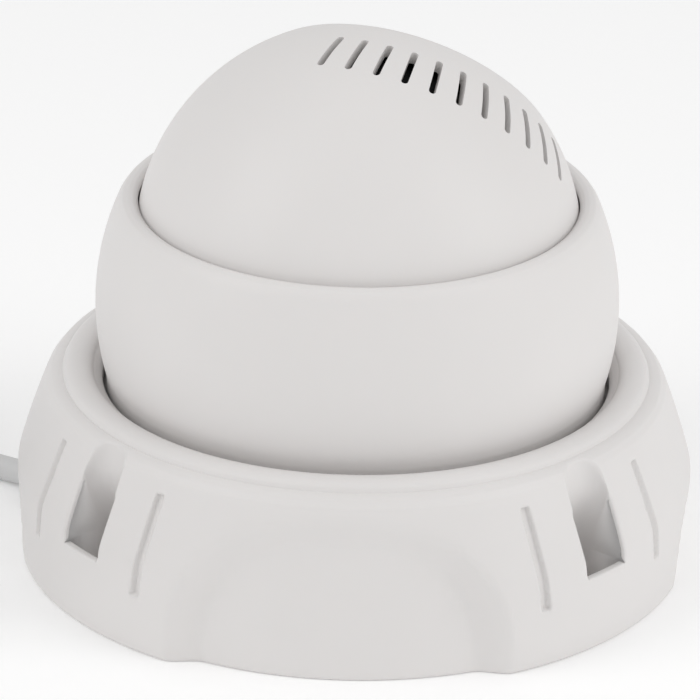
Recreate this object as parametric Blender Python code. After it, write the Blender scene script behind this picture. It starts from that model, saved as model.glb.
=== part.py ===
"""Eyeball dome camera standing on its mounting base, with its pigtail lead.

The frame has its origin at the centre of the base's underside, +Z up. The
window looks away from -Y. Dimensions are in millimetres and become metres
where vertices are made.
"""

from math import asin, atan2, cos, pi, radians, sin, sqrt

import bmesh
import bpy
from mathutils import Matrix, Vector

MM = 0.001
GAP = 0.3  # clearance between neighbouring pieces

# Base
BASE_R = 60.3
BASE_SEGMENTS = 40
WALL_IN_R = 51.2  # inside of the outer wall
CUP_IN_R, CUP_OUT_R, CUP_FLOOR = 42.6, 47.4, 10.0
BORE_R, BORE_BOTTOM = 45.2, 24.0  # the collar's seat in the base
HUB_R = 8.5
ARCH_HALF, ARCH_TOP, ARCH_FLOOR_R = radians(29.5), 29.5, 56.2
SIDE_ARCH_R = 15.0
SLOT_ANGLES = [radians(a) for a in (50, 130, -130, -50)]  # from -Y towards +X
SLOT_W, SLOT_BACK_R, SLOT_LIP_Z, SLOT_LIP_R, SLOT_FLOOR = 9.4, 53.4, 13.5, 58.9, 4.5
SCREW_HOLE_R, SCREW_HOLE_AT = 1.7, 56.2
GROOVE_OFFSET, GROOVE_W, GROOVE_DEPTH = radians(14.3), 1.6, 1.0
GROOVE_LEAN = 0.15  # how far the grooves lean towards the arch as they rise
GROOVE_Z = (11.0, 29.5)
PLATE_R, PLATE_T = 50.8, 2.2
POST_AT, POST_R = 30.0, 3.4

# Collar
COLLAR_R, COLLAR_Z = 46.5, 47.3  # the outer sphere and the height of its centre
COLLAR_WALL = 2.3
COLLAR_TOP = 67.2
SKIRT_BOTTOM = 26.5

# Ball
BALL_R, BALL_Z, BALL_WALL = 39.6, 58.1, 2.2
LOOK_UP, LOOK_ACROSS = radians(36.9), radians(17.9)  # rest direction of the lens
FACE_AT = 28.6  # plane of the front face, from the ball's centre
CAP_ANGLE = radians(132)  # seam between the housing and the rear cap, from the lens axis
VENTS, VENT_START, VENT_STEP = 11, radians(-5.4), radians(7.92)
VENT_FROM, VENT_TO, VENT_W = radians(55.6), radians(70.3), 1.3
BOARD_HALF, POST_OFFSET = 19.0, 16.5
CAP_SCREW_AT = 24.3

# Lead
LEAD_D, TAIL_D = 4.5, 3.0
EXIT = Vector((-57.6, 15.65, 3.1))  # outer face of the gland
EXIT_DIR = Vector((-0.841, 0.541, 0.0))
COIL_AT, COIL_R, COIL_LIFT = Vector((-109.0, 19.3, 0.0)), 24.75, 0.8
COIL_IN, COIL_OUT, COIL_TURNS = radians(57.2), radians(200), 2
SPLITTER_Z, END_RUN = 3.6, 31.0  # the lead comes down from the coil over this run

WHITE = ("abs_white", (0.78, 0.76, 0.75), 0.5, 0.0)
BLACK = ("black_plastic", (0.02, 0.02, 0.022), 0.45, 0.0)
RUBBER = ("black_rubber", (0.03, 0.03, 0.03), 0.8, 0.0)
STEEL = ("steel", (0.62, 0.62, 0.63), 0.3, 1.0)
BRASS = ("brass", (0.75, 0.6, 0.32), 0.3, 1.0)
NYLON = ("nylon", (0.72, 0.71, 0.67), 0.5, 0.0)
BOARD = ("board_green", (0.03, 0.14, 0.07), 0.45, 0.0)
GLASS = ("window_glass", (0.05, 0.05, 0.06), 0.05, 0.0)
SHEATH = ("lead_sheath", (0.62, 0.62, 0.62), 0.5, 0.0)


def material(finish):
    """The Principled material of a finish, made once."""
    name, colour, roughness, metallic = finish
    mat = bpy.data.materials.get(name) or bpy.data.materials.new(name)
    mat.use_nodes = True
    shader = mat.node_tree.nodes["Principled BSDF"]
    shader.inputs["Base Color"].default_value = (*colour, 1)
    shader.inputs["Roughness"].default_value = roughness
    shader.inputs["Metallic"].default_value = metallic
    mat.diffuse_color = (*colour, 1)
    return mat


def piece(name, bm, finish, parent=None, at=(0, 0, 0), turn=(0, 0, 0)):
    """Makes the object of one sub-part from a bmesh in millimetres."""
    bmesh.ops.scale(bm, vec=(MM, MM, MM), verts=bm.verts)
    bmesh.ops.recalc_face_normals(bm, faces=bm.faces)
    mesh = bpy.data.meshes.new(name)
    bm.to_mesh(mesh)
    bm.free()
    mesh.shade_smooth()
    mesh.set_sharp_from_angle(angle=radians(35))
    mesh.materials.append(material(finish))
    obj = bpy.data.objects.new(name, mesh)
    obj.location, obj.rotation_euler, obj.parent = Vector(at) * MM, turn, parent
    bpy.context.scene.collection.objects.link(obj)
    return obj


def cutter(name, bm, parent=None, at=(0, 0, 0), turn=(0, 0, 0)):
    """A solid that only cuts others."""
    obj = piece(name, bm, WHITE, parent, at, turn)
    obj.hide_render, obj.display_type = True, "WIRE"
    obj.hide_set(True)
    return obj


def cut(obj, tool, operation="DIFFERENCE"):
    mod = obj.modifiers.new(tool.name, "BOOLEAN")
    mod.operation, mod.object = operation, tool


def turned(profile, segments=32):
    """A closed outline of (radius, height) points turned about Z."""
    bm = bmesh.new()
    verts = [bm.verts.new((r, 0, z)) for r, z in profile]
    edges = [bm.edges.new((a, b)) for a, b in zip(verts, verts[1:])]
    if profile[0][0] > 0 or profile[-1][0] > 0:
        edges.append(bm.edges.new((verts[-1], verts[0])))
    bmesh.ops.spin(bm, geom=verts + edges, cent=(0, 0, 0), axis=(0, 0, 1), angle=2 * pi, steps=segments)
    bmesh.ops.remove_doubles(bm, verts=bm.verts, dist=1e-3)
    return bm


def rod(radius, low, high, segments=16):
    return turned([(0, low), (radius, low), (radius, high), (0, high)], segments)


def ring(inner, outer, low, high, segments=32):
    return turned([(inner, low), (outer, low), (outer, high), (inner, high)], segments)


def box(low, high):
    """A block between two corners."""
    low, high = Vector(low), Vector(high)
    bm = bmesh.new()
    bmesh.ops.create_cube(bm, size=1, matrix=Matrix.Translation((low + high) / 2) @ Matrix.Diagonal((*(high - low), 1)))
    return bm


def extruded(outline, vector):
    """A flat outline of 3-D points, extruded along a vector."""
    bm = bmesh.new()
    face = bm.faces.new([bm.verts.new(p) for p in outline])
    grown = bmesh.ops.extrude_face_region(bm, geom=[face])["geom"]
    bmesh.ops.translate(bm, vec=vector, verts=[v for v in grown if isinstance(v, bmesh.types.BMVert)])
    return bm


def moved(bm, matrix):
    bmesh.ops.transform(bm, matrix=matrix, verts=bm.verts)
    return bm


def joined(parts):
    """Several separate solids in one bmesh."""
    whole = bmesh.new()
    for part in parts:
        mesh = bpy.data.meshes.new("joining")
        part.to_mesh(mesh)
        part.free()
        whole.from_mesh(mesh)
        bpy.data.meshes.remove(mesh)
    return whole


def arc(radius, height, start, end, steps):
    """Points (radius, height) on a circle centred on the axis at a height; angles up from level."""
    return [
        (radius * cos(a), height + radius * sin(a))
        for a in (start + (end - start) * i / steps for i in range(steps + 1))
    ]


def axis_empty(name, at, turn=(0, 0, 0), parent=None):
    obj = bpy.data.objects.new(name, None)
    obj.location, obj.rotation_euler, obj.parent = Vector(at) * MM, turn, parent
    obj.empty_display_size = 0.02
    bpy.context.scene.collection.objects.link(obj)
    return obj


def facing(angle):
    """Rotation about Z that takes -Y to an angle measured from -Y towards +X."""
    return Matrix.Rotation(angle, 4, "Z")


# ---- base ------------------------------------------------------------------


def wall_profile():
    """Outer wall of the base, from the foot up to the shoulder."""
    return [
        (BASE_R - 0.5, 0), (BASE_R, 4), (BASE_R, 17), (59.3, 20.5), (57.9, 25),
        (56.5, 29), (55.4, 32), (54.3, 33.4), (52.9, 34.0),
    ]  # fmt: skip


def bead_profile():
    """Rounded bead round the collar, and the lead-in down to the bore."""
    bead = [(49.5 + 2.7 * cos(a), 34.0 + 1.7 * sin(a)) for a in (radians(15 + 37.5 * i) for i in range(5))]
    return [(52.5, 33.7), *bead, (45.7, 33.4), (BORE_R, 32.8)]


def arch_cutter(half, height, low_r, steps):
    """An arch cut into the wall at -Y: a half ellipse in angle and height, from a cylinder outwards."""
    bm = bmesh.new()
    rows = []
    for i in range(steps + 1):
        u = cos(pi * i / steps)
        a, top = half * u, max(height * sqrt(1 - u * u), 0.4)
        across = Vector((sin(a), -cos(a), 0))
        rows.append([bm.verts.new(across * r + Vector((0, 0, z))) for r, z in ((low_r, -2), (68, -2), (68, top), (low_r, top))])
    for a, b in zip(rows, rows[1:]):
        for k in range(4):
            bm.faces.new((a[k], a[(k + 1) % 4], b[(k + 1) % 4], b[k]))
    bm.faces.new(rows[0])
    bm.faces.new(reversed(rows[-1]))
    return bm


def slot_cutter():
    """A screw pocket at -Y: a round-cornered channel, deeper behind a lip on its outside."""
    half, corner = SLOT_W / 2, 4.2
    end = [
        (s * (half - corner + corner * sin(a)), -(SLOT_BACK_R + corner) + corner * cos(a))
        for s, angles in ((1, (90, 60, 30, 0)), (-1, (0, 30, 60, 90)))
        for a in map(radians, angles)
    ]
    lip = [(-half, -SLOT_LIP_R), (half, -SLOT_LIP_R)]
    mouth = [(-half, -66), (half, -66)]
    bm = bmesh.new()
    level = lambda points, z: [bm.verts.new((x, y, z)) for x, y in points]
    floor, floor_lip = level(end, SLOT_FLOOR), level(lip, SLOT_FLOOR)
    middle, middle_lip, middle_mouth = (level(points, SLOT_LIP_Z) for points in (end, lip, mouth))
    top, top_mouth = level(end, 40), level(mouth, 40)
    bm.faces.new([*floor, *floor_lip])
    bm.faces.new([*top, *top_mouth])
    for low, high in ((floor, middle), (middle, top)):
        for i in range(len(end) - 1):
            bm.faces.new((low[i], low[i + 1], high[i + 1], high[i]))
    for near, k in ((0, 1), (-1, 0)):
        bm.faces.new((floor[near], floor_lip[k], middle_lip[k], middle[near]))
        bm.faces.new((middle[near], middle_lip[k], middle_mouth[k], top_mouth[k], top[near]))
    bm.faces.new((*floor_lip, *reversed(middle_lip)))
    bm.faces.new((*middle_lip, *reversed(middle_mouth)))
    bm.faces.new((*middle_mouth, *reversed(top_mouth)))
    return bm


def groove_cutter(lean):
    """A shallow groove at -Y that follows the wall at an even depth and leans to one side as it rises."""
    low, high = GROOVE_Z
    wall = [(r, z) for r, z in wall_profile() if low < z < high]
    heights = [(wall[0][0], low), *wall, (56.35, high)]
    outline = [Vector((-GROOVE_W / 2, -(r - GROOVE_DEPTH), z)) for r, z in heights]
    outline += [Vector((-GROOVE_W / 2, -66, high)), Vector((-GROOVE_W / 2, -66, low))]
    groove = extruded(outline, Vector((GROOVE_W, 0, 0)))
    for v in groove.verts:
        v.co.x += lean * (v.co.z - low)
    return groove


def along_exit(bm):
    """Moves a solid made along +X from the origin to the lead's exit, pointing the way the lead leaves."""
    return moved(bm, Matrix.Translation((EXIT.x, EXIT.y, 0)) @ Matrix.Rotation(atan2(EXIT_DIR.y, EXIT_DIR.x), 4, "Z"))


def make_base():
    outline = [
        *wall_profile(), *bead_profile(),
        (BORE_R, 30.0), (46.1, 29.8), (46.1, 27.6), (BORE_R, 27.4), (BORE_R, BORE_BOTTOM), (CUP_IN_R, BORE_BOTTOM),
        (CUP_IN_R, CUP_FLOOR), (HUB_R, CUP_FLOOR), (HUB_R, 8.0), (CUP_OUT_R, 8.0), (CUP_OUT_R, 31.0),
        (49.8, 31.0), (WALL_IN_R, 29.5), (WALL_IN_R, 0),
    ]  # fmt: skip
    base = piece("base_shell", turned(outline, BASE_SEGMENTS), WHITE)

    posts = [moved(rod(POST_R, PLATE_T + GAP, 9.0, 12), facing(a) @ Matrix.Translation((0, -POST_AT, 0))) for a in post_angles()]
    cut(base, cutter("plate_posts", joined(posts)), "UNION")
    holes = [moved(rod(1.3, 0, 7.4, 10), facing(a) @ Matrix.Translation((0, -POST_AT, 0))) for a in post_angles()]
    cut(base, cutter("post_holes", joined(holes)))

    front = arch_cutter(ARCH_HALF, ARCH_TOP, ARCH_FLOOR_R, 12)
    back = moved(arch_cutter(ARCH_HALF, ARCH_TOP, ARCH_FLOOR_R, 12), facing(pi))
    half = SIDE_ARCH_R / BASE_R
    sides = [moved(arch_cutter(half, SIDE_ARCH_R, ARCH_FLOOR_R, 8), facing(a)) for a in (pi / 2, -pi / 2)]
    cut(base, cutter("arches", joined([front, back, *sides])))

    cut(base, cutter("slots", joined([moved(slot_cutter(), facing(a)) for a in SLOT_ANGLES])))
    holes = [
        moved(rod(SCREW_HOLE_R, -2, SLOT_FLOOR + 1, 12), facing(a) @ Matrix.Translation((0, -SCREW_HOLE_AT, 0)))
        for a in SLOT_ANGLES
    ]
    cut(base, cutter("slot_holes", joined(holes)))
    towards = lambda a: GROOVE_LEAN if sin(a) * cos(a) < 0 else -GROOVE_LEAN
    grooves = [moved(groove_cutter(towards(a)), facing(a + s * GROOVE_OFFSET)) for a in SLOT_ANGLES for s in (-1, 1)]
    cut(base, cutter("grooves", joined(grooves)))
    cut(base, cutter("lead_notch", along_exit(box((-13, -3.2, -2), (12, 3.2, 6.4)))))


def post_angles():
    return [radians(a) for a in (45, 165, 285)]


def make_back_plate():
    plate = piece("back_plate", rod(PLATE_R, 0, PLATE_T, 28), WHITE)
    screws = [moved(rod(1.6, -1, 3, 10), facing(a) @ Matrix.Translation((0, -POST_AT, 0))) for a in post_angles()]
    heads = [moved(rod(3.1, -1, 1.2, 12), facing(a) @ Matrix.Translation((0, -POST_AT, 0))) for a in post_angles()]
    cut(plate, cutter("plate_holes", joined(screws)))
    cut(plate, cutter("plate_head_holes", joined(heads)))
    cut(plate, cutter("plate_notch", along_exit(box((-18, -4.2, -2), (12, 4.2, 6.4)))))
    shape = [(0, 0.2), (2.7, 0.2), (2.7, 0.9), (1.0, 0.9), (1.0, 6.8), (0, 7.2)]
    for i, a in enumerate(post_angles(), 1):
        piece(f"back_plate_screw_{i}", turned(shape, 8), STEEL, at=facing(a) @ Vector((0, -POST_AT, 0)))


def make_gland():
    """Rubber grommet that fills the notch; the lead passes through its middle."""
    piece("cable_gland", along_exit(box((-6.0, -2.9, 0.3), (-GAP, 2.9, 6.1))), RUBBER)


# ---- collar ----------------------------------------------------------------


def make_collar():
    """The ring that clamps the ball: a zone of a sphere outside, a grip round the ball's upper half inside."""
    inner_r, grip_r = COLLAR_R - COLLAR_WALL, BALL_R + GAP
    grip_low, grip_high = 60.4, 66.5
    outer = arc(COLLAR_R, COLLAR_Z, asin((34.3 - COLLAR_Z) / COLLAR_R), asin((65.2 - COLLAR_Z) / COLLAR_R), 5)
    lip = [(42.55, 66.2), (41.8, 66.95), (40.7, COLLAR_TOP), (39.7, 67.05)]
    grip = arc(grip_r, BALL_Z, asin((grip_high - BALL_Z) / grip_r), asin((grip_low - BALL_Z) / grip_r), 2)
    inner = arc(inner_r, COLLAR_Z, asin((grip_low - 0.7 - COLLAR_Z) / inner_r), asin((36 - COLLAR_Z) / inner_r), 3)
    skirt = [(42.3, 34), (42.3, SKIRT_BOTTOM), (44.5, SKIRT_BOTTOM), (44.5, 27.9), (45.6, 28.3), (45.6, 29.1), (44.5, 29.5), (44.5, 34)]
    piece("collar", turned([*outer, *lip, *grip, *inner, *skirt], 32), WHITE)
    piece("collar_gasket", ring(43.0, 44.9, BORE_BOTTOM + GAP, SKIRT_BOTTOM - GAP, 32), RUBBER)
    piece("friction_ring", ring(BALL_R + 0.35, 42.1, 57.0, 59.3, 32), RUBBER)


# ---- carriage under the ball ------------------------------------------------


def make_carriage(pan):
    """The turntable that carries the ball and leads the inner cable through its middle."""
    seat_r = BALL_R + GAP
    seat = arc(seat_r, BALL_Z, -radians(38.5), -radians(47), 3)
    outline = [
        (3.6, 9.2), (7.9, 9.2), (7.9, 12.7), (35.0, 12.7), (35.0, 14.2), (seat[0][0] + 1.2, 16.0),
        (seat[0][0] + 1.2, seat[0][1]), *seat, (seat[-1][0] - 0.6, 14.2), (3.6, 14.2),
    ]  # fmt: skip
    carriage = piece("seat_carriage", turned(outline, 24), NYLON, pan)
    cut(carriage, cutter("carriage_slot", box((-6.6, -45, 14.6), (6.6, -15, 50)), pan))
    piece("wave_spring", ring(27, 32, 10.4, 12.3, 24), STEEL)


# ---- ball --------------------------------------------------------------------


def make_housing(ball):
    """Outer shell of the ball with the window's seat in front, a flange for the cap and the vents."""
    inner_r = BALL_R - BALL_WALL
    edge = asin(27.5 / BALL_R)
    outer = arc(BALL_R, 0, pi / 2 - edge, pi / 2 - CAP_ANGLE, 8)
    rear = [(inner_r * sin(CAP_ANGLE), inner_r * cos(CAP_ANGLE)), (27.0, -24.0), (22.0, -24.0), (22.0, -22.4), (28.6, -22.4)]
    inner = arc(inner_r, 0, asin(-21.5 / inner_r), asin(22.0 / inner_r), 4)
    seat = [(27.8, 24.4), (23.4, 24.4), (23.4, 25.2), (25.5, 25.2), (25.5, FACE_AT), (26.6, FACE_AT)]
    housing = piece("ball_housing", turned([*outer, *rear, *inner, *seat], 32), WHITE, ball)
    slots = []
    middle, length = (VENT_FROM + VENT_TO) / 2, BALL_R * (VENT_TO - VENT_FROM)
    for i in range(VENTS):
        lie = Matrix.Rotation(VENT_START + i * VENT_STEP, 4, "Z") @ Matrix.Rotation(middle, 4, "X")
        slots.append(moved(box((-VENT_W / 2, -length / 2, 34), (VENT_W / 2, length / 2, 44)), lie))
    cut(housing, cutter("vents", joined(slots), ball))
    holes = [moved(rod(0.8, -30, -20, 8), Matrix.Translation((x, 0, 0))) for x in (-CAP_SCREW_AT, CAP_SCREW_AT)]
    cut(housing, cutter("cap_screw_threads", joined(holes), ball))
    screen = arc(36.3, 0, pi / 2 - radians(50), pi / 2 - radians(71), 2) + arc(35.7, 0, pi / 2 - radians(71), pi / 2 - radians(50), 2)
    piece("dust_screen", turned(screen, 28), BLACK, ball)


def make_cap(ball):
    """Rear cap of the ball, with the swivelling hole of the cable at its pole and two bosses for its screws."""
    inner_r, hole_r, across = BALL_R - BALL_WALL, 6.3, (-CAP_SCREW_AT, CAP_SCREW_AT)
    seam = CAP_ANGLE + GAP / BALL_R
    outline = [
        *arc(BALL_R, 0, pi / 2 - seam, -pi / 2 + asin(hole_r / BALL_R), 4),
        *arc(inner_r, 0, -pi / 2 + asin(hole_r / inner_r), pi / 2 - seam - radians(0.2), 4),
    ]
    cap = piece("rear_cap", turned(outline, 24), WHITE, ball)
    bosses = [moved(rod(2.5, -31.0, -24.3, 12), Matrix.Translation((x, 0, 0))) for x in across]
    for v in (v for boss in bosses for v in boss.verts if v.co.z < -28):
        v.co.z = -sqrt((BALL_R - 0.4) ** 2 - v.co.x**2 - v.co.y**2)  # the foot of a boss stays inside the wall
    heads = [moved(rod(2.1, -45, -28.7, 10), Matrix.Translation((x, 0, 0))) for x in across]
    shanks = [moved(rod(1.2, -35, -20, 10), Matrix.Translation((x, 0, 0))) for x in across]
    cut(cap, cutter("cap_bosses", joined(bosses), ball), "UNION")
    cut(cap, cutter("cap_head_holes", joined(heads), ball))
    cut(cap, cutter("cap_shank_holes", joined(shanks), ball))
    shape = [(0, -29.6), (1.8, -29.6), (1.8, -29.0), (0.55, -29.0), (0.55, -23.0), (0, -22.8)]
    for i, x in enumerate(across, 1):
        piece(f"rear_cap_screw_{i}", turned(shape, 8), STEEL, ball, at=(x, 0, 0))


def make_window(ball):
    piece("front_window", rod(25.2, 26.6, 28.1, 32), GLASS, ball)
    piece("window_gasket", ring(23.6, 25.2, 25.5, 26.3, 24), RUBBER, ball)


def make_led_board(ball):
    """Round board behind the window with a ring of infrared LEDs and the light sensor."""
    chassis = piece("chassis_ring", ring(20.5, 30.2, 14.3, 16.7, 24), BLACK, ball)
    cut(chassis, cutter("chassis_lead_hole", box((-3, -40, 10), (3, -24, 20)), ball))
    board = piece("ir_led_board", ring(11.0, 23.0, 17.0, 18.2, 24), BOARD, ball)
    lamp = [(0, 17.6), (2.5, 17.6), (2.5, 21.3), (1.9, 22.5), (0, 23.1)]
    angles = [2 * pi * (i + 0.5) / 12 for i in range(12)]
    lamps = [moved(turned(lamp, 6), Matrix.Rotation(a, 4, "Z") @ Matrix.Translation((0, -18.2, 0))) for a in angles]
    cut(board, cutter("led_lamps", joined(lamps), ball), "UNION")
    piece("photocell", rod(1.5, 18.5, 20.4, 10), BRASS, ball, at=(0, -14.2, 0))
    piece("light_baffle", ring(8.6, 10.6, 17.0, 26.2, 20), RUBBER, ball)


def make_lens(ball):
    """Threaded lens in its holder over the image sensor."""
    barrel = [(4.2, 7.0), (5.9, 7.0), (5.9, 13.4), (7.6, 13.8), (7.6, 24.6), (6.6, 25.2), (5.2, 23.4), (4.2, 22.0)]
    piece("lens_barrel", turned(barrel, 20), BLACK, ball)
    glass = [(0, 22.7), (4.4, 23.0), (4.85, 23.5), (3.0, 24.3), (0, 24.6)]
    piece("lens_glass", turned(glass, 16), GLASS, ball)
    holder = [(6.3, 4.2), (9.2, 4.2), (9.2, 6.0), (8.0, 6.6), (8.0, 12.9), (6.3, 12.9)]
    piece("lens_holder", turned(holder, 20), BLACK, ball)
    piece("image_sensor", box((-3.6, -3.6, 2.3), (3.6, 3.6, 3.6)), BLACK, ball)


def make_boards(ball):
    """Sensor board and power board on hexagonal posts, with the plug of the inner cable."""
    half = BOARD_HALF
    piece("sensor_board", box((-half, -half, 0.4), (half, half, 2.0)), BOARD, ball)
    piece("power_board", box((-half, -half, -10.8), (half, half, -9.2)), BOARD, ball)
    corners = [(x, y) for x in (-POST_OFFSET, POST_OFFSET) for y in (-POST_OFFSET, POST_OFFSET)]
    for i, (x, y) in enumerate(corners, 1):
        piece(f"front_post_{i}", rod(2.2, 2.3, 14.0, 6), BRASS, ball, at=(x, y, 0))
        piece(f"rear_post_{i}", rod(2.2, -8.9, 0.1, 6), BRASS, ball, at=(x, y, 0))
    piece("cable_header", box((-7.0, -2.8, -17.0), (7.0, 2.8, -11.1)), WHITE, ball)
    piece("led_wires", box((-2.2, -27.6, 2.4), (2.2, -26.4, 17.4)), SHEATH, ball)


def make_grommet(tilt):
    """Swivel bush of the cable: the ball turns round its neck, a flange inside holds it."""
    outline = [(0, -34.2), (8.6, -34.2), (8.6, -35.6), (5.9, -35.9), (5.9, -41.0), (4.4, -42.6), (0, -42.6)]
    piece("cable_grommet", turned(outline, 20), RUBBER, tilt)


# ---- cables ----------------------------------------------------------------------


def smooth(points, step):
    """Points a step apart on a Catmull-Rom curve through the route's own points."""
    p = [2 * points[0] - points[1], *points, 2 * points[-1] - points[-2]]
    fine = []
    for a, b, c, d in zip(p, p[1:], p[2:], p[3:]):
        fine += [
            0.5 * (2 * b + (c - a) * t + (2 * a - 5 * b + 4 * c - d) * t**2 + (3 * b - a - 3 * c + d) * t**3)
            for t in (k / 16 for k in range(16))
        ]
    fine.append(points[-1])
    length = [0.0]
    for a, b in zip(fine, fine[1:]):
        length.append(length[-1] + (b - a).length)
    count = max(2, round(length[-1] / step))
    spots, k = [], 0
    for i in range(count + 1):
        at = length[-1] * i / count
        while k < len(fine) - 2 and length[k + 1] < at:
            k += 1
        part = (at - length[k]) / max(length[k + 1] - length[k], 1e-9)
        spots.append(fine[k].lerp(fine[k + 1], min(part, 1)))
    return spots


def tube(name, route, diameter, finish, parent=None):
    """A cable along a route, as a curve with a round bevel and filled ends."""
    curve = bpy.data.curves.new(name, "CURVE")
    curve.dimensions = "3D"
    curve.bevel_depth = diameter / 2 * MM
    curve.bevel_resolution = 2
    curve.use_fill_caps = True
    points = smooth([Vector(p) for p in route], 1.3 * diameter)
    spline = curve.splines.new("POLY")
    spline.points.add(len(points) - 1)
    for spot, p in zip(spline.points, points):
        spot.co = (*(p * MM), 1)
    curve.materials.append(material(finish))
    obj = bpy.data.objects.new(name, curve)
    obj.parent = parent
    bpy.context.scene.collection.objects.link(obj)
    return obj


def make_inner_cables(pan):
    """From the gland to the hub, and from the hub to the grommet on the ball."""
    start = EXIT - EXIT_DIR * 6.4
    tube(
        "inner_cable_base",
        [(start.x, start.y, 4.0), (-47.6, 9.3, 4.4), (-38, 4.4, 4.7), (-26, 1.6, 5.1), (-14, 0.3, 5.1), (-6, 0, 5.4), (-1.6, 0, 6.6), (-0.1, 0, 8.8), (0, 0, 9.8)],
        4.0,
        BLACK,
    )
    away = Vector((0, -cos(LOOK_UP), -sin(LOOK_UP)))
    centre = Vector((0, 0, BALL_Z))
    end, before = centre + away * (42.6 + GAP), centre + away * 46.6
    tube(
        "inner_cable_ball",
        [(0, 0, 11.1), (0, 0, 12.2), (0, -0.8, 14.2), (0, -3.2, 16.2), (0, -9, 17.0), (0, -20, 17.2), (0, -30, 18.6), (0, -36.6, 22.2), (0, -38.8, 26.4), before, end],
        3.2,
        BLACK,
        pan,
    )


def coil_point(angle):
    """Middle of the lead in the coil, at an angle run on from where it enters."""
    rise = LEAD_D * 1.01 * (angle - COIL_IN) / (2 * pi)
    return COIL_AT + Vector((COIL_R * cos(angle), COIL_R * sin(angle), COIL_LIFT + LEAD_D / 2 + rise))


def make_lead():
    """The lead from the gland into its coil and on to the splitter, with the two tails."""
    last = COIL_OUT + 2 * pi * COIL_TURNS
    height = coil_point(last).z + LEAD_D / 2
    inner, outer = COIL_R - LEAD_D / 2 - 0.1, COIL_R + LEAD_D / 2 + 0.1
    lead = [EXIT + EXIT_DIR * along + Vector((0, 0, up)) for along, up in ((0, 0), (5, -0.5), (11, -0.8), (20, -0.8), (27.6, -0.5))]
    tube("cable_lead", lead, LEAD_D, SHEATH)
    piece("cable_coil", ring(inner, outer, COIL_LIFT, height, 36), SHEATH, at=COIL_AT)
    middle = COIL_AT + Vector((0, COIL_R, 0))
    tie = piece("coil_tie", box((-2.5, -3.6, 0.05), (2.5, 3.6, height + 0.9)), BLACK, at=middle)
    cut(tie, cutter("coil_tie_hole", box((-4, -3.0, COIL_LIFT - GAP), (4, 3.0, height + 0.35)), at=middle))

    leave, ahead, fall = coil_point(last), Vector((-sin(last), cos(last), 0)), coil_point(last).z - SPLITTER_Z
    end = [
        leave + ahead * along - Vector((0, 0, fall * (1 - cos(pi * along / END_RUN)) / 2))
        for along in (17.3, 20.5, 24, 28, END_RUN)
    ]
    end.append(end[-1] + ahead * 3)
    tube("cable_end", end, LEAD_D, SHEATH)
    make_splitter(end[-1], ahead)


def make_splitter(end, ahead):
    """Moulded splitter and the video and power tails with their connectors."""
    lie = Matrix.Translation(end + ahead * GAP) @ Matrix.Rotation(atan2(ahead.y, ahead.x), 4, "Z")
    shape = [Vector((0, y, z)) for y, z in ((3.2, -2.6), (3.2, 2.6), (-3.2, 2.6), (-3.2, -2.6))]
    body = extruded(shape, Vector((13, 0, 0)))
    for v in body.verts:
        v.co.y *= 1.45 if v.co.x > 6 else 1.0
    piece("cable_splitter", moved(body, lie), BLACK)
    video_at, power_at = Vector((-101.0, -51.5, 4.95)), Vector((-101.0, -38.5, 4.75))
    low = TAIL_D / 2 + 0.1 - SPLITTER_Z
    video = [lie @ Vector((13.4, -2.4, low)), lie @ Vector((17, -2.5, low)), lie @ Vector((22, -1.6, low)), (-111.5, -50.2, 1.8)]
    power = [lie @ Vector((13.4, 2.4, low)), lie @ Vector((15.5, 2.7, low)), (-110.6, -37.6, 1.9)]
    for route, at in ((video, video_at), (power, power_at)):
        route += [at + Vector((x, 0, z)) for x, z in ((-6.5, -1.9), (-3.2, -0.4), (-0.3, 0))]
    tube("video_tail", video, TAIL_D, SHEATH)
    tube("power_tail", power, TAIL_D, SHEATH)
    lay = Matrix.Rotation(pi / 2, 4, "Y")
    boot = [(0, 0), (2.3, 0), (4.2, 5.0), (4.2, 10.0), (0, 10.0)]
    video_at, power_at = Matrix.Translation(video_at), Matrix.Translation(power_at)
    piece("video_boot", moved(turned(boot, 16), video_at @ lay), BLACK)
    shell = [(0, 10.3), (4.9, 10.3), (4.9, 14.0), (3.9, 14.0), (3.9, 25.5), (2.9, 25.5), (2.9, 17.0), (0, 17.0)]
    socket = piece("video_socket", moved(turned(shell, 16), video_at @ lay), STEEL)
    studs = cutter("video_studs", moved(rod(1.0, -4.8, 4.8, 8), video_at @ Matrix.Translation((21.5, 0, 0)) @ Matrix.Rotation(pi / 2, 4, "X")))
    core = cutter("video_core", moved(rod(2.8, 14, 30, 16), video_at @ lay))
    cut(socket, studs, "UNION")
    cut(socket, core)
    piece("video_contact", moved(turned([(0, 14.3), (1.6, 14.3), (1.6, 20.5), (0.9, 20.5), (0.9, 24.5), (0, 24.5)], 10), video_at @ lay), BRASS)
    piece("power_boot", moved(turned(boot, 16), power_at @ lay), BLACK)
    barrel = [(0, 10.3), (4.6, 10.3), (4.6, 26.5), (3.0, 26.5), (3.0, 15.0), (0, 15.0)]
    piece("power_socket", moved(turned(barrel, 20), power_at @ lay), BLACK)
    piece("power_pin", moved(rod(1.05, 15.3, 25.0, 10), power_at @ lay), STEEL)


def build():
    for obj in list(bpy.data.objects):
        bpy.data.objects.remove(obj, do_unlink=True)
    make_base()
    make_back_plate()
    make_gland()
    make_collar()
    pan = axis_empty("pan_axis", (0, 0, 0), (0, 0, -LOOK_ACROSS))
    make_carriage(pan)
    centre, aim = (0, 0, BALL_Z), (LOOK_UP - pi / 2, 0, 0)
    tilt = axis_empty("tilt_axis", centre, aim, pan)
    ball = axis_empty("roll_axis", (0, 0, 0), (0, 0, 0), tilt)
    make_housing(ball)
    make_cap(ball)
    make_window(ball)
    make_led_board(ball)
    make_lens(ball)
    make_boards(ball)
    make_grommet(tilt)
    make_inner_cables(pan)
    make_lead()


build()
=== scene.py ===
import math

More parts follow.
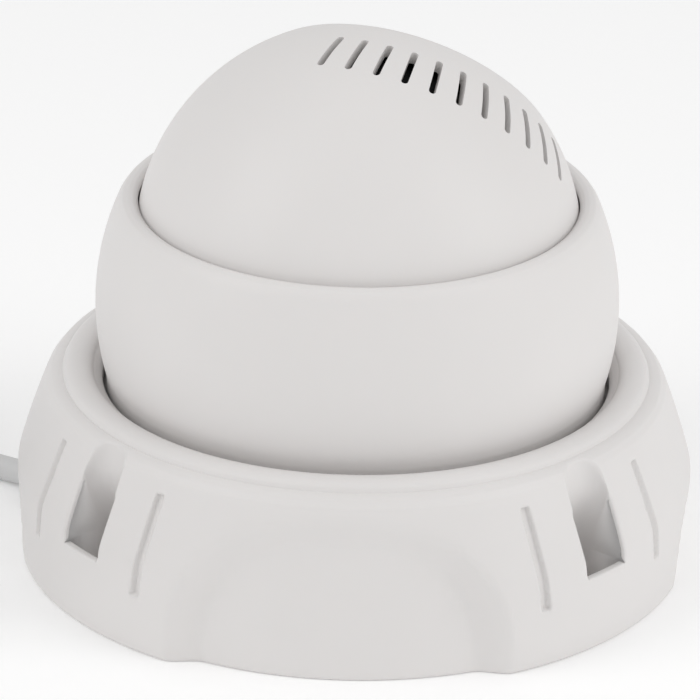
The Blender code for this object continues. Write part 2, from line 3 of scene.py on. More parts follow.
import bmesh
import bpy
import numpy as np
from mathutils import Matrix, Vector


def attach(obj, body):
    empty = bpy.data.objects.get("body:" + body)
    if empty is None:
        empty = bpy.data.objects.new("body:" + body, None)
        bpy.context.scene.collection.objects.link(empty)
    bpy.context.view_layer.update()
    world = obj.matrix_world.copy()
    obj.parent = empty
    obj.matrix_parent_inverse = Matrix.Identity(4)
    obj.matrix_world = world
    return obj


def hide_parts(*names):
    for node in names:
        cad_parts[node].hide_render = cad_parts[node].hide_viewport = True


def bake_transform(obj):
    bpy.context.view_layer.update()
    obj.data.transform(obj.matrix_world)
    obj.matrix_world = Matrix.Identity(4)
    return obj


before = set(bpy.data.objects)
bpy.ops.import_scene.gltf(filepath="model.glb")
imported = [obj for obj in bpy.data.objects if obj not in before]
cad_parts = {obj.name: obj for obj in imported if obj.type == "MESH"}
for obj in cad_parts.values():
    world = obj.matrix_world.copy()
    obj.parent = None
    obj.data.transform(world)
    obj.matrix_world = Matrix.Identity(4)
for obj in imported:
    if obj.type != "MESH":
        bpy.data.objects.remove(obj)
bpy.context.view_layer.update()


# ---- Camera -----------------------------------------------------------------
# A long lens looks down on the camera from a little to the right of its front,
# so the base reads as a low ring with the ball leaning back out of it.

LENS_TILT, LENS_ROLL, LENS_TURN, LENS_AWAY = math.radians(23.9), math.radians(1.04), math.radians(2.4), 1.2176

back = Vector((0, -math.cos(LENS_TILT), math.sin(LENS_TILT)))
level, upward = Vector((1, 0, 0)), Vector((0, math.sin(LENS_TILT), math.cos(LENS_TILT)))
axes = (
    math.cos(LENS_ROLL) * level + math.sin(LENS_ROLL) * upward,
    math.cos(LENS_ROLL) * upward - math.sin(LENS_ROLL) * level,
    back,
)
stand = Matrix(
    [[*(axis[k] for axis in axes), (Vector((0, 0, 0.04)) + back * LENS_AWAY)[k]] for k in range(3)]
    + [[0, 0, 0, 1]]
)
camera = bpy.data.objects.new("camera", bpy.data.cameras.new("camera"))
camera.data.lens, camera.data.sensor_width = 351.6, 36.0
camera.data.shift_x, camera.data.shift_y = -0.0094, -0.0179
camera.data.clip_start, camera.data.clip_end = 0.1, 20.0
camera.matrix_world = Matrix.Rotation(LENS_TURN, 4, "Z") @ stand
bpy.context.scene.collection.objects.link(camera)
bpy.context.scene.camera = camera


# ---- Floor and studio light ---------------------------------------------------
# A white paper sweep lies under the camera, with a wide softbox on each side and
# a dimmer one above.

FLOOR_WHITE = (0.93, 0.93, 0.93, 1)


def add(tree, kind, fields=None, **wires):
    """One shader node: fields set its options, and each wire sets or feeds the input of that name."""
    made = tree.nodes.new(kind)
    for field, value in (fields or {}).items():
        setattr(made, field, value)
    for name, value in wires.items():
        socket = made.inputs[int(name[1:])] if name[1:].isdigit() else made.inputs[name.replace("_", " ")]
        if isinstance(value, bpy.types.NodeSocket):
            tree.links.new(value, socket)
        else:
            socket.default_value = value
    return made


def blank(name):
    """An empty node material and its node tree."""
    made = bpy.data.materials.new(name)
    made.use_nodes = True
    made.node_tree.nodes.clear()
    return made, made.node_tree


def planar(name, half, depth, sag):
    """A grid over x and y. Its height is sag times the square of how far a point lies behind y = depth."""
    x, y = np.meshgrid(np.linspace(-half, half, 41), np.linspace(-half, half, 41))
    z = sag * np.maximum(y - depth, 0) ** 2
    cells = np.arange(40)[:, None] * 41 + np.arange(40)
    mesh = bpy.data.meshes.new(name)
    quads = np.stack([cells, cells + 1, cells + 42, cells + 41], -1).reshape(-1, 4)
    mesh.from_pydata(np.stack([x, y, z], -1).reshape(-1, 3).tolist(), [], quads.tolist())
    mesh.polygons.foreach_set("use_smooth", [True] * len(mesh.polygons))
    made = bpy.data.objects.new(name, mesh)
    bpy.context.scene.collection.objects.link(made)
    return made


paper, tree = blank("paper")
where = add(tree, "ShaderNodeTexCoord")
tooth = add(tree, "ShaderNodeTexNoise", Vector=where.outputs["Object"], Scale=900.0, Detail=2.0)
shader = add(
    tree, "ShaderNodeBsdfPrincipled", Base_Color=FLOOR_WHITE, Roughness=0.9,
    Emission_Color=(1, 1, 1, 1), Emission_Strength=0.12
)
add(tree, "ShaderNodeOutputMaterial", Surface=shader.outputs[0])
raised = add(tree, "ShaderNodeBump", Height=tooth.outputs[0], Strength=0.1, Distance=0.00005)
tree.links.new(raised.outputs[0], shader.inputs["Normal"])

floor = planar("floor", 3.0, 1.6, 0.6)
floor.data.materials.append(paper)

for name, place, size, power in (
    ("softbox_left", (-0.75, -0.35, 0.62), (0.55, 0.9), 2.5),
    ("softbox_right", (0.8, -0.3, 0.55), (0.55, 0.9), 2.8),
    ("softbox_top", (0.0, 0.15, 1.1), (1.0, 0.9), 1.0),
):
    lamp = bpy.data.lights.new(name, "AREA")
    lamp.shape, lamp.size, lamp.size_y, lamp.energy = "RECTANGLE", *size, power
    lit = bpy.data.objects.new(name, lamp)
    lit.location = place
    lit.rotation_euler = (Vector((0, 0, 0.04)) - Vector(place)).to_track_quat("-Z", "Y").to_euler()
    bpy.context.scene.collection.objects.link(lit)

sky = bpy.data.worlds.new("studio")
sky.use_nodes = True
sky.node_tree.nodes["Background"].inputs["Color"].default_value = (1, 1, 1, 1)
sky.node_tree.nodes["Background"].inputs["Strength"].default_value = 0.6
bpy.context.scene.world = sky
bpy.context.scene.view_settings.view_transform = "Standard"


# ---- Lead ---------------------------------------------------------------------
# Round two-core and coaxial lead in grey-white PVC. It leaves the notch in the base, is wound
# into a coil of over two turns, held by a tie, and comes down to the moulded splitter.

MM = 0.001
LEAD_D = 4.5
EXIT, EXIT_DIR = np.array([-57.6, 15.65, 3.1]), np.array([-0.841, 0.541, 0.0])
COIL_AT, COIL_R, COIL_LIFT = np.array([-109.0, 19.3, 0.0]), 24.75, 0.8
COIL_IN, COIL_OUT = math.radians(57.2), math.radians(200 + 720)
SPLITTER_Z, END_RUN = 3.6, 31.0


def moulded_skin():
    """Moulded plastic or rubber: an even colour with slow clouding, a fine grain, and dust where it lies
    level."""
    group = bpy.data.node_groups.new("moulded_skin", "ShaderNodeTree")
    for name, kind, start in (
        ("Colour", "NodeSocketColor", (0.8, 0.8, 0.8, 1)), ("Clouding", "NodeSocketFloat", 0.05),
        (
            "Roughness", "NodeSocketFloat", 0.5
        ), ("Grain", "NodeSocketFloat", 2500.0), ("Dust", "NodeSocketFloat", 0.0),
    ):
        group.interface.new_socket(name, in_out="INPUT", socket_type=kind).default_value = start
    for name, kind in (
        ("Colour", "NodeSocketColor"), ("Roughness", "NodeSocketFloat"), ("Height", "NodeSocketFloat")
    ):
        group.interface.new_socket(name, in_out="OUTPUT", socket_type=kind)
    given = group.nodes.new("NodeGroupInput").outputs
    at = add(group, "ShaderNodeTexCoord").outputs["Object"]
    cloud = add(group, "ShaderNodeTexNoise", Vector=at, Scale=38.0, Detail=3.0).outputs[0]
    grain = add(
        group, "ShaderNodeTexNoise", Vector=at, Scale=given["Grain"], Detail=2.0, Roughness=0.6
    ).outputs[0]
    specks = add(group, "ShaderNodeTexNoise", Vector=at, Scale=1400.0, Detail=4.0, Roughness=0.7).outputs[0]
    facing_up = add(
        group, "ShaderNodeSeparateXYZ", Vector=add(group, "ShaderNodeNewGeometry").outputs["Normal"]
    ).outputs[2]
    shade = add(group, "ShaderNodeMath", {"operation": "MULTIPLY"}, _0=cloud, _1=given["Clouding"]).outputs[0]
    darker = add(
        group, "ShaderNodeMix", {"data_type": "RGBA", "blend_type": "MULTIPLY"}, _0=shade,
        _6=given["Colour"], _7=(0.0, 0.0, 0.0, 1)
    )
    level = add(group, "ShaderNodeMapRange", Value=facing_up, From_Min=0.55, From_Max=1.0).outputs[0]
    settled = add(group, "ShaderNodeMapRange", Value=specks, From_Min=0.55, From_Max=0.75).outputs[0]
    dust = add(group, "ShaderNodeMath", {"operation": "MULTIPLY"}, _0=level, _1=settled).outputs[0]
    dust = add(group, "ShaderNodeMath", {"operation": "MULTIPLY"}, _0=dust, _1=given["Dust"]).outputs[0]
    dusty = add(
        group, "ShaderNodeMix", {"data_type": "RGBA"}, _0=dust, _6=darker.outputs[2],
        _7=(0.5, 0.48, 0.45, 1)
    )
    swing = add(
        group, "ShaderNodeMath", {"operation": "MULTIPLY_ADD"}, _0=cloud, _1=0.14, _2=-0.07
    ).outputs[0]
    rough = add(group, "ShaderNodeMath", {"operation": "ADD"}, _0=given["Roughness"], _1=swing).outputs[0]
    rough = add(
        group, "ShaderNodeMath", {"operation": "ADD", "use_clamp": True}, _0=rough, _1=dust
    ).outputs[0]
    add(group, "NodeGroupOutput", Colour=dusty.outputs[2], Roughness=rough, Height=grain)
    return group


skin_group = moulded_skin()


def moulding(name, colour, roughness, grain=2500.0, depth=0.006, clouding=0.05, dust=0.0, **shader):
    """A moulded material: the skin group feeds colour, roughness and a grain of that depth in millimetres."""
    made, tree = blank(name)
    skin = add(
        tree, "ShaderNodeGroup", {"node_tree": skin_group}, Colour=(*colour, 1), Clouding=clouding,
        Roughness=roughness, Grain=grain, Dust=dust
    )
    grained = add(tree, "ShaderNodeBump", Height=skin.outputs["Height"], Strength=1.0, Distance=depth * MM)
    body = add(
        tree, "ShaderNodeBsdfPrincipled", Base_Color=skin.outputs["Colour"],
        Roughness=skin.outputs["Roughness"],
        Normal=grained.outputs[0], **shader,
    )  # fmt: skip
    add(tree, "ShaderNodeOutputMaterial", Surface=body.outputs[0])
    return made


def smooth_route(points, step):
    """Points a step apart on the Catmull-Rom curve through a route: each span is the cubic of its four
    neighbours."""
    p = np.asarray(points, float)
    p = np.vstack([2 * p[0] - p[1], p, 2 * p[-1] - p[-2]])
    t = np.linspace(0, 1, 24, endpoint=False)[:, None]
    a, b, c, d = (p[k : len(p) - 3 + k, None] for k in range(4))
    fine = 0.5 * (2 * b + (c - a) * t + (2 * a - 5 * b + 4 * c - d) * t**2 + (3 * b - a - 3 * c + d) * t**3)
    fine = np.vstack([fine.reshape(-1, 3), p[-2]])
    run = np.append(0, np.cumsum(np.linalg.norm(np.diff(fine, axis=0), axis=1)))
    spots = np.linspace(0, run[-1], max(3, round(run[-1] / step) + 1))
    return np.stack([np.interp(spots, run, fine[:, k]) for k in range(3)], -1)


def laid_cord(name, points, diameter, material):
    """A cord on a route, with a round section and filled ends, and its real length in metres."""
    curve = bpy.data.curves.new(name, "CURVE")
    curve.dimensions, curve.use_fill_caps = "3D", True
    curve.bevel_depth, curve.bevel_resolution = diameter / 2 * MM, 5
    spline = curve.splines.new("POLY")
    spline.points.add(len(points) - 1)
    spline.points.foreach_set("co", np.column_stack([points * MM, np.ones(len(points))]).ravel())
    spline.use_smooth = True
    curve.materials.append(material)
    made = bpy.data.objects.new(name, curve)
    bpy.context.scene.collection.objects.link(made)
    return made, float(np.linalg.norm(np.diff(points, axis=0), axis=1).sum() * MM)


def coil_points(angles):
    """The middle of the lead in its coil: a circle that climbs a diameter in each turn."""
    rise = COIL_LIFT + LEAD_D / 2 + LEAD_D * 1.01 * (angles - COIL_IN) / (2 * math.pi)
    return COIL_AT + np.stack([COIL_R * np.cos(angles), COIL_R * np.sin(angles), rise], -1)


sheath_grey = moulding(
    "lead_sheath", (0.66, 0.66, 0.66), 0.46, grain=1500.0, depth=0.012, clouding=0.06,
    Specular_IOR_Level=0.45
)

out = np.array([(0, 0), (5, -0.5), (11, -0.8), (20, -0.8), (27.6, -0.5), (36.0, -0.15)])
lead_out = EXIT + out[:, :1] * EXIT_DIR + out[:, 1:] * (0, 0, 1)
wound = coil_points(np.linspace(COIL_IN, COIL_OUT, 90))
ahead = np.array([-math.sin(COIL_OUT), math.cos(COIL_OUT), 0])
runs = np.array([6.0, 12.0, 17.3, 20.5, 24.0, 28.0, END_RUN])
drop = (wound[-1][2] - SPLITTER_Z) * (1 - np.cos(np.pi * runs / END_RUN)) / 2
lead_end = wound[-1] + runs[:, None] * ahead - drop[:, None] * (0, 0, 1)
lead_end = np.vstack([lead_end, lead_end[-1] + 3 * ahead])
lead_line = smooth_route(np.vstack([lead_out, wound, lead_end]), 1.5)
lead, lead_length = laid_cord("lead", lead_line, LEAD_D, sheath_grey)
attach(lead, "base")
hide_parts("cable_lead", "cable_coil", "cable_end")


# ---- Turned pieces of the lead: gland, tie, splitter -----------------------------
# The gland is a soft rubber block pressed into the notch. The tie is a releasable nylon strap.
# The splitter is one rubber moulding over the end of the lead, flared to the two tails.


def eased(corners, radius, closed=True, steps=4):
    """A polygon with each corner replaced by a parabola between points a radius away, or less on short
    sides, and a point beyond each."""
    p = np.asarray(corners, float)
    to_last, to_next = np.roll(p, 1, 0) - p, np.roll(p, -1, 0) - p
    far_last, far_next = (
        np.maximum(np.linalg.norm(v, axis=1, keepdims=True), 1e-9) for v in (to_last, to_next)
    )
    a, b = p + to_last * np.minimum(
        radius / far_last, 0.36
    ), p + to_next * np.minimum(radius / far_next, 0.36)
    a2, b2 = p + to_last * np.minimum(
        1.5 * radius / far_last, 0.46
    ), p + to_next * np.minimum(1.5 * radius / far_next, 0.46)
    t = np.linspace(0, 1, steps + 1)[None, :, None]
    bend = (1 - t) ** 2 * a[:, None] + 2 * t * (1 - t) * p[:, None] + t**2 * b[:, None]
    bend = np.concatenate([a2[:, None], bend, b2[:, None]], 1)
    return bend.reshape(-1, 2) if closed else np.vstack([p[:1], bend[1:-1].reshape(-1, 2), p[-1:]])


def ruled(rows, columns, wrap_rows, wrap_columns):
    """Quads between neighbouring rows and columns of a grid, whose points are numbered row by row."""
    i = np.arange(rows if wrap_rows else rows - 1)[:, None]
    j = np.arange(columns if wrap_columns else columns - 1)[None]
    i2, j2 = (i + 1) % rows, (j + 1) % columns
    return np.stack(
        [i * columns + j, i * columns + j2, i2 * columns + j2, i2 * columns + j], -1
    ).reshape(-1, 4)


def solid(name, parts, material, body, slot, *stands_for):
    """One closed mesh out of several parts, each (points in millimetres, quads), with doubles merged and
    faces turned outwards."""
    points = np.vstack([np.asarray(p, float).reshape(-1, 3) for p, _ in parts]) * MM
    starts = np.cumsum([0] + [np.asarray(p).reshape(-1, 3).shape[0] for p, _ in parts])
    quads = np.vstack([np.asarray(q) + s for (_, q), s in zip(parts, starts)])
    mesh = bpy.data.meshes.new(name)
    mesh.from_pydata(points.tolist(), [], quads.tolist())
    bm = bmesh.new()
    bm.from_mesh(mesh)
    bmesh.ops.remove_doubles(bm, verts=bm.verts, dist=2e-6)
    bmesh.ops.recalc_face_normals(bm, faces=bm.faces)
    bm.to_mesh(mesh)
    bm.free()
    mesh.polygons.foreach_set("use_smooth", [True] * len(mesh.polygons))
    mesh.materials.append(material)
    made = bpy.data.objects.new(name, mesh)
    bpy.context.scene.collection.objects.link(made)
    if body:
        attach(made, body)
    if stands_for:
        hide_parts(*stands_for)
    return made


def placed(points, matrix):
    """Points turned and moved by a matrix."""
    return np.asarray(points, float) @ np.array(matrix)[:3, :3].T + np.array(matrix)[:3, 3]


def revolved(profile, place=None, sides=96, closed=True):
    """A profile of (radius, height) turned about Z. A closed one makes a ring; an open one starts and
    ends on the axis."""
    profile, turn = np.asarray(profile, float), np.linspace(0, 2 * math.pi, sides, endpoint=False)[None]
    r, z = profile[:, :1], profile[:, 1:]
    points = np.stack([r * np.sin(turn), -r * np.cos(turn), z + 0 * turn], -1)
    rows = len(profile)
    return placed(points.reshape(-1, 3), place or Matrix()), ruled(rows, sides, closed, True)


def blocked(half_x, half_y, heights, place, corner=0.8, sides=4, swell=None):
    """An upright block: a rounded rectangle carried up through its heights, closed by rings that shrink
    to its middle."""
    a = np.linspace(0, math.pi / 2, sides + 1)
    one = np.stack([half_x - corner + corner * np.cos(a), half_y - corner + corner * np.sin(a)], -1)
    two = np.stack(
        [
            -(half_x - corner) + corner * np.cos(a + math.pi / 2),
            half_y - corner + corner * np.sin(a + math.pi / 2)
        ],
        -1
    )
    outline = np.vstack([one, two, -one, -two])
    low, high = heights
    ease = min(0.5, (high - low) / 4)
    scale = np.array([0.0, 0.5, 0.92, 0.97, 1.0, 1.0, 0.97, 0.92, 0.5, 0.0])
    up = np.array(
        [low, low, low, low + ease * 0.25, low + ease, high - ease, high - ease * 0.25, high, high, high]
    )
    inset = np.minimum(half_x, half_y) * (1 - scale)[:, None]
    reach = np.linalg.norm(outline, axis=1)[None]
    shrink = np.where(scale[:, None] < 0.9, scale[:, None], 1 - inset / reach)
    points = np.concatenate(
        [outline[None] * shrink[..., None], np.broadcast_to(up[:, None, None], (len(up), len(outline), 1))],
        -1
    )
    if swell:
        points = swell(points)
    return placed(points.reshape(-1, 3), place), ruled(len(up), len(outline), False, True)


rubber_black = moulding(
    "rubber_black", (0.022, 0.022, 0.023), 0.62, grain=3000.0, depth=0.012, clouding=0.2, dust=0.25
)
plastic_black = moulding(
    "plastic_black", (0.018, 0.018, 0.02), 0.42, grain=2600.0, depth=0.008, clouding=0.2, dust=0.15
)

exit_turn = math.atan2(EXIT_DIR[1], EXIT_DIR[0])
at_exit = Matrix.Translation((EXIT[0], EXIT[1], 0)) @ Matrix.Rotation(exit_turn, 4, "Z")
gland_ring = eased([(2.27, 0), (2.9, 0), (2.7, 2.2), (2.27, 2.4)], 0.2)
gland_mouth = at_exit @ Matrix.Translation((-0.2, 0, 3.1)) @ Matrix.Rotation(math.pi / 2, 4, "Y")
gland = solid(
    "lead_gland",
    [
        blocked(2.85, 2.9, (0.3, 6.1), at_exit @ Matrix.Translation((-3.15, 0, 0))),
        revolved(gland_ring, gland_mouth, 32)
    ],
    rubber_black, "base", "seal_rubber", "cable_gland",
)  # fmt: skip

tie_high = wound[-1][2] + LEAD_D / 2
tie_path = eased(
    [(-3.25, 0.35), (3.25, 0.35), (3.25, tie_high + 0.65), (-3.25, tie_high + 0.65)], 1.6, steps=8
)


def strap(path, half_width, thickness, middle):
    """A flat strap: its section, four corners wide, is carried round a closed path in the upright plane
    across the lead."""
    ahead = np.roll(path, -1, 0) - np.roll(path, 1, 0)
    side = np.stack([ahead[:, 1], -ahead[:, 0]], -1) / np.linalg.norm(ahead, axis=1, keepdims=True)
    section = np.array([(-1, 0), (-0.9, 0.5), (0.9, 0.5), (1, 0), (0.9, -0.5), (-0.9, -0.5)])
    flat = path[:, None] + side[:, None] * section[None, :, 1:] * thickness
    along = np.broadcast_to(section[None, :, :1] * half_width, flat[..., :1].shape)
    points = np.concatenate([along, flat], -1) + middle
    return points.reshape(-1, 3), ruled(len(path), len(section), True, True)


tie_at = COIL_AT + np.array([0, COIL_R, 0])
buckle = Matrix.Translation((*tie_at[:2], tie_high + 0.45))
tie = solid(
    "lead_tie", [strap(tie_path, 2.4, 0.5, tie_at), blocked(2.5, 2.4, (-0.2, 1.3), buckle, corner=0.5)],
    plastic_black, "base", "dark_plastic", "coil_tie",
)  # fmt: skip

splitter_start = lead_end[-1] + 0.3 * ahead
lie = Matrix.Translation(splitter_start) @ Matrix.Rotation(math.atan2(ahead[1], ahead[0]), 4, "Z")


def flared(points):
    """The block widens over its middle third, from the lead to the two tails."""
    x = points[..., 0] + 6.5
    grow = np.clip((x - 3.0) / 5.0, 0, 1)
    points[..., 1] *= 1 + 0.45 * grow * grow * (3 - 2 * grow)
    return points


splitter = solid(
    "lead_splitter",
    [
        blocked(6.5, 3.2, (-2.6, 2.6), lie @ Matrix.Translation((6.5, 0, 0)), corner=1.2, swell=flared),
        revolved(
            eased([(2.3, -1.0), (3.0, 0.4), (3.0, 1.4), (2.3, 1.4)], 0.2),
            lie @ Matrix.Rotation(math.pi / 2, 4, "Y"), 32
        ),
    ],
    rubber_black, "base", "boot_plastic", "cable_splitter",
)  # fmt: skip


# ---- Tails and their sockets -------------------------------------------------------
# The thinner video and power tails come out of the splitter, each into a ribbed rubber boot.
# The video one ends in a nickel-plated bayonet socket, the power one in a round jack for a barrel plug.

TAIL_D = 3.0
VIDEO_AT, POWER_AT = np.array([-101.0, -51.5, 4.95]), np.array([-101.0, -38.5, 4.75])
LOW = TAIL_D / 2 + 0.1 - SPLITTER_Z


def drawn_metal():
    """Turned or drawn metal: fine rings along the given stretch of the coordinates, and a slow change of
    polish."""
    group = bpy.data.node_groups.new("drawn_metal", "ShaderNodeTree")
    for name, kind, start in (
        ("Vector", "NodeSocketVector", (0, 0, 0)), ("Colour", "NodeSocketColor", (0.6, 0.6, 0.6, 1)),
        ("Roughness", "NodeSocketFloat", 0.3), ("Tarnish", "NodeSocketFloat", 0.1),
    ):
        group.interface.new_socket(name, in_out="INPUT", socket_type=kind).default_value = start
    for name, kind in (
        ("Colour", "NodeSocketColor"), ("Roughness", "NodeSocketFloat"), ("Height", "NodeSocketFloat")
    ):
        group.interface.new_socket(name, in_out="OUTPUT", socket_type=kind)
    given = group.nodes.new("NodeGroupInput").outputs
    lines = add(group, "ShaderNodeTexNoise", Vector=given["Vector"], Scale=1.0, Detail=3.0).outputs[0]
    at = add(group, "ShaderNodeTexCoord").outputs["Object"]
    cloud = add(group, "ShaderNodeTexNoise", Vector=at, Scale=350.0, Detail=3.0).outputs[0]
    dull = add(group, "ShaderNodeMath", {"operation": "MULTIPLY"}, _0=cloud, _1=given["Tarnish"]).outputs[0]
    colour = add(
        group, "ShaderNodeMix", {"data_type": "RGBA"}, _0=dull, _6=given["Colour"],
        _7=(0.18, 0.16, 0.14, 1)
    )
    rough = add(
        group, "ShaderNodeMath", {"operation": "MULTIPLY_ADD"}, _0=lines, _1=0.12, _2=given["Roughness"]
    ).outputs[0]
    rough = add(
        group, "ShaderNodeMath", {"operation": "ADD", "use_clamp": True}, _0=rough, _1=dull
    ).outputs[0]
    add(group, "NodeGroupOutput", Colour=colour.outputs[2], Roughness=rough, Height=lines)
    return group


metal_group = drawn_metal()


def metal(name, colour, roughness, stretch, tarnish=0.1, turn=(0, 0, 0), depth=0.004):
    """A metal material: stretch gives how fast the tool lines change along each axis, per metre."""
    made, tree = blank(name)
    at = add(tree, "ShaderNodeTexCoord").outputs["Object"]
    turned = add(tree, "ShaderNodeMapping", Vector=at, Rotation=turn, Scale=stretch).outputs[0]
    lines = add(
        tree, "ShaderNodeGroup", {"node_tree": metal_group}, Vector=turned, Colour=(*colour, 1),
        Roughness=roughness, Tarnish=tarnish
    )
    grooved = add(tree, "ShaderNodeBump", Height=lines.outputs["Height"], Strength=1.0, Distance=depth * MM)
    body = add(
        tree, "ShaderNodeBsdfPrincipled", Base_Color=lines.outputs["Colour"],
        Roughness=lines.outputs["Roughness"],
        Metallic=1.0, Normal=grooved.outputs[0],
    )  # fmt: skip
    add(tree, "ShaderNodeOutputMaterial", Surface=body.outputs[0])
    return made


nickel = metal("nickel_plate", (0.72, 0.71, 0.68), 0.2, (9000, 250, 250), tarnish=0.08)
gold_flash = metal("gold_flash", (0.86, 0.66, 0.3), 0.2, (6000, 300, 300), tarnish=0.08)
steel = metal("zinc_steel", (0.6, 0.6, 0.62), 0.28, (900, 900, 5000), tarnish=0.14)
brass = metal("turned_brass", (0.76, 0.58, 0.28), 0.24, (500, 500, 5000), tarnish=0.18)


def ribbed(start, wide, length, ribs):
    """A boot's profile: a cone from the tail's radius to the socket's, with a round rib raised on it at
    even steps."""
    z = np.linspace(0, length, 12 * ribs + 1)
    r = start + (wide - start) * np.minimum(z / (0.62 * length), 1) ** 0.8
    r = r - 0.35 * (0.5 - 0.5 * np.cos(2 * np.pi * ribs * z / length)) * (z < 0.93 * length)
    return np.vstack([[(0, 0)], np.stack([r, z], -1), [(0, length)]])


lay = Matrix.Rotation(math.pi / 2, 4, "Y")
places, ends = {}, []
for kind, at, route in (
    ("video", VIDEO_AT, [(13.4, -2.4, LOW), (17, -2.5, LOW), (22, -1.6, LOW), (-111.5, -50.2, 1.8)]),
    ("power", POWER_AT, [(13.4, 2.4, LOW), (15.5, 2.7, LOW), (-110.6, -37.6, 1.9)]),
):
    points = [*(placed([p], lie)[0] for p in route[:-1]), np.array(route[-1], float)]
    points += [at + np.array(p) for p in ((-6.5, 0, -1.9), (-3.2, 0, -0.4), (-0.3, 0, 0))]
    line = smooth_route(points, 1.0)
    tail, _ = laid_cord(f"{kind}_tail_cord", line, TAIL_D, sheath_grey)
    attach(tail, "base")
    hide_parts(f"{kind}_tail")
    place = Matrix.Translation(at) @ lay
    boot = solid(
        f"{kind}_boot_ribbed", [revolved(ribbed(1.9, 4.2, 10.0, 6), place, 48, closed=False)],
        rubber_black, "base", "boot_plastic", f"{kind}_boot"
    )
    places[kind] = place
    ends += [tail, boot]

place = places["video"]
grip = np.array(
    [
        (0, 10.3), (4.5, 10.3), (4.9, 10.7), (4.9, 13.6), (4.5, 14.0), (3.9, 14.0), (3.9, 25.1),
        (3.6, 25.5), (3.1, 25.5), (2.8, 25.2), (2.8, 17.0), (0, 17.0)
    ]
)
socket_points, socket_quads = revolved(eased(grip, 0.15, closed=False), place, 96, closed=False)
local = placed(socket_points, place.inverted())
far = np.hypot(local[:, 0], local[:, 1])
knurl = 1 - 0.035 * (np.sin(24 * np.arctan2(local[:, 1], local[:, 0])) > 0) * (far > 4.6)
local[:, :2] *= knurl[:, None]
pegs = [
    revolved(
        eased([(0, 3.7), (1.0, 3.7), (1.0, 4.8), (0, 4.8)], 0.2, closed=False),
        Matrix.Translation(VIDEO_AT + (21.5, 0, 0)) @ Matrix.Rotation(s * math.pi / 2, 4, "X"), 24,
        closed=False
    )
    for s in (1, -1)
]
video_socket = solid(
    "video_socket_shell", [(placed(local, place), socket_quads), *pegs], nickel, "base", "socket_metal",
    "video_socket"
)
contact = eased(
    [(0, 14.3), (1.6, 14.3), (1.6, 20.5), (0.9, 20.5), (0.9, 24.3), (0, 24.5)], 0.15, closed=False
)
video_contact = solid(
    "video_contact_pin", [revolved(contact, place, 32, closed=False)], gold_flash, "base",
    "contact_brass", "video_contact"
)
place = places["power"]
barrel = eased(
    [
        (0, 10.3), (4.2, 10.3), (4.6, 10.8), (4.6, 26.0), (4.2, 26.5), (3.2, 26.5), (3.0, 26.2),
        (3.0, 15.0), (0, 15.0)
    ],
    0.2, closed=False
)
power_socket = solid(
    "power_socket_shell", [revolved(barrel, place, 64, closed=False)], plastic_black, "base",
    "boot_plastic", "power_socket"
)
pin = eased([(0, 15.3), (1.05, 15.3), (1.05, 24.2), (0.7, 25.0), (0, 25.0)], 0.15, closed=False)
power_pin = solid(
    "power_centre_pin", [revolved(pin, place, 32, closed=False)], nickel, "base", "socket_metal",
    "power_pin"
)


# ---- Wall of the base ------------------------------------------------------------------
# Injection-moulded ABS skirt with a satin surface. Arches are let into all four sides, screw
# pockets and pairs of draft grooves between them, and a notch under the wall lets the lead out.

BASE_R, WALL_IN_R = 60.3, 51.2
WALL = np.array(
    [
        (59.8, 0), (60.3, 4), (60.3, 17), (59.3, 20.5), (57.9, 25), (56.5, 29), (55.4, 32),
        (54.3, 33.4), (52.9, 34.0)
    ]
)
ARCH_HALF, ARCH_TOP, ARCH_FLOOR_R, ARCH_BAND = math.radians(30.3), 31.3, 56.6, 0.2
SIDE_HALF, SIDE_TOP = 15 / 60.3, 15.0
SLOTS = np.radians([50, 130, -130, -50])
SLOT_HALF, SLOT_CORNER, SLOT_BACK_R, LIP_R, LIP_Z, POCKET_Z = 4.7, 4.2, 53.4, 58.9, 14.3, 4.5
SLOT_EASE, SLOT_LEAN, HOLE_R, HOLE_AT = 0.8, 0.1, 1.7, 56.2
UNDERCUT, SET_IN = 5.0, 3.7
GROOVES, GROOVE_LEAN = np.radians([s * a for s in (1, -1) for a in (36.5, 65.0, 115.0, 143.5)]), 0.14
NOTCH_HALF, NOTCH_TOP = 3.2, 6.4
NOTCH_AXIS = math.atan2(EXIT_DIR[0], -EXIT_DIR[1])
NOTCH_OFF = BASE_R * math.sin(math.atan2(EXIT[0], -EXIT[1]) - NOTCH_AXIS)


def step(t):
    """Rises from 0 to 1 as t does, level at both ends."""
    t = np.clip(t, 0, 1)
    return t * t * (3 - 2 * t)


def wall_radius(z):
    """Radius of the plain wall at a height, with the corners of its profile rounded off over a few
    millimetres."""
    offsets = np.array([-1.2, -0.6, 0, 0.6, 1.2])
    weights = np.array([1, 2, 3, 2, 1]) / 9
    near = np.interp(np.asarray(z)[..., None] + offsets, WALL[:, 1], WALL[:, 0])
    blurred = (near * weights).sum(-1)
    keep = step((np.asarray(z) - 31.5) / 1.0)
    return blurred * (1 - keep) + np.interp(z, WALL[:, 1], WALL[:, 0]) * keep


def turn_between(a, b):
    """Signed angle from b to a."""
    return (a - b + np.pi) % (2 * np.pi) - np.pi


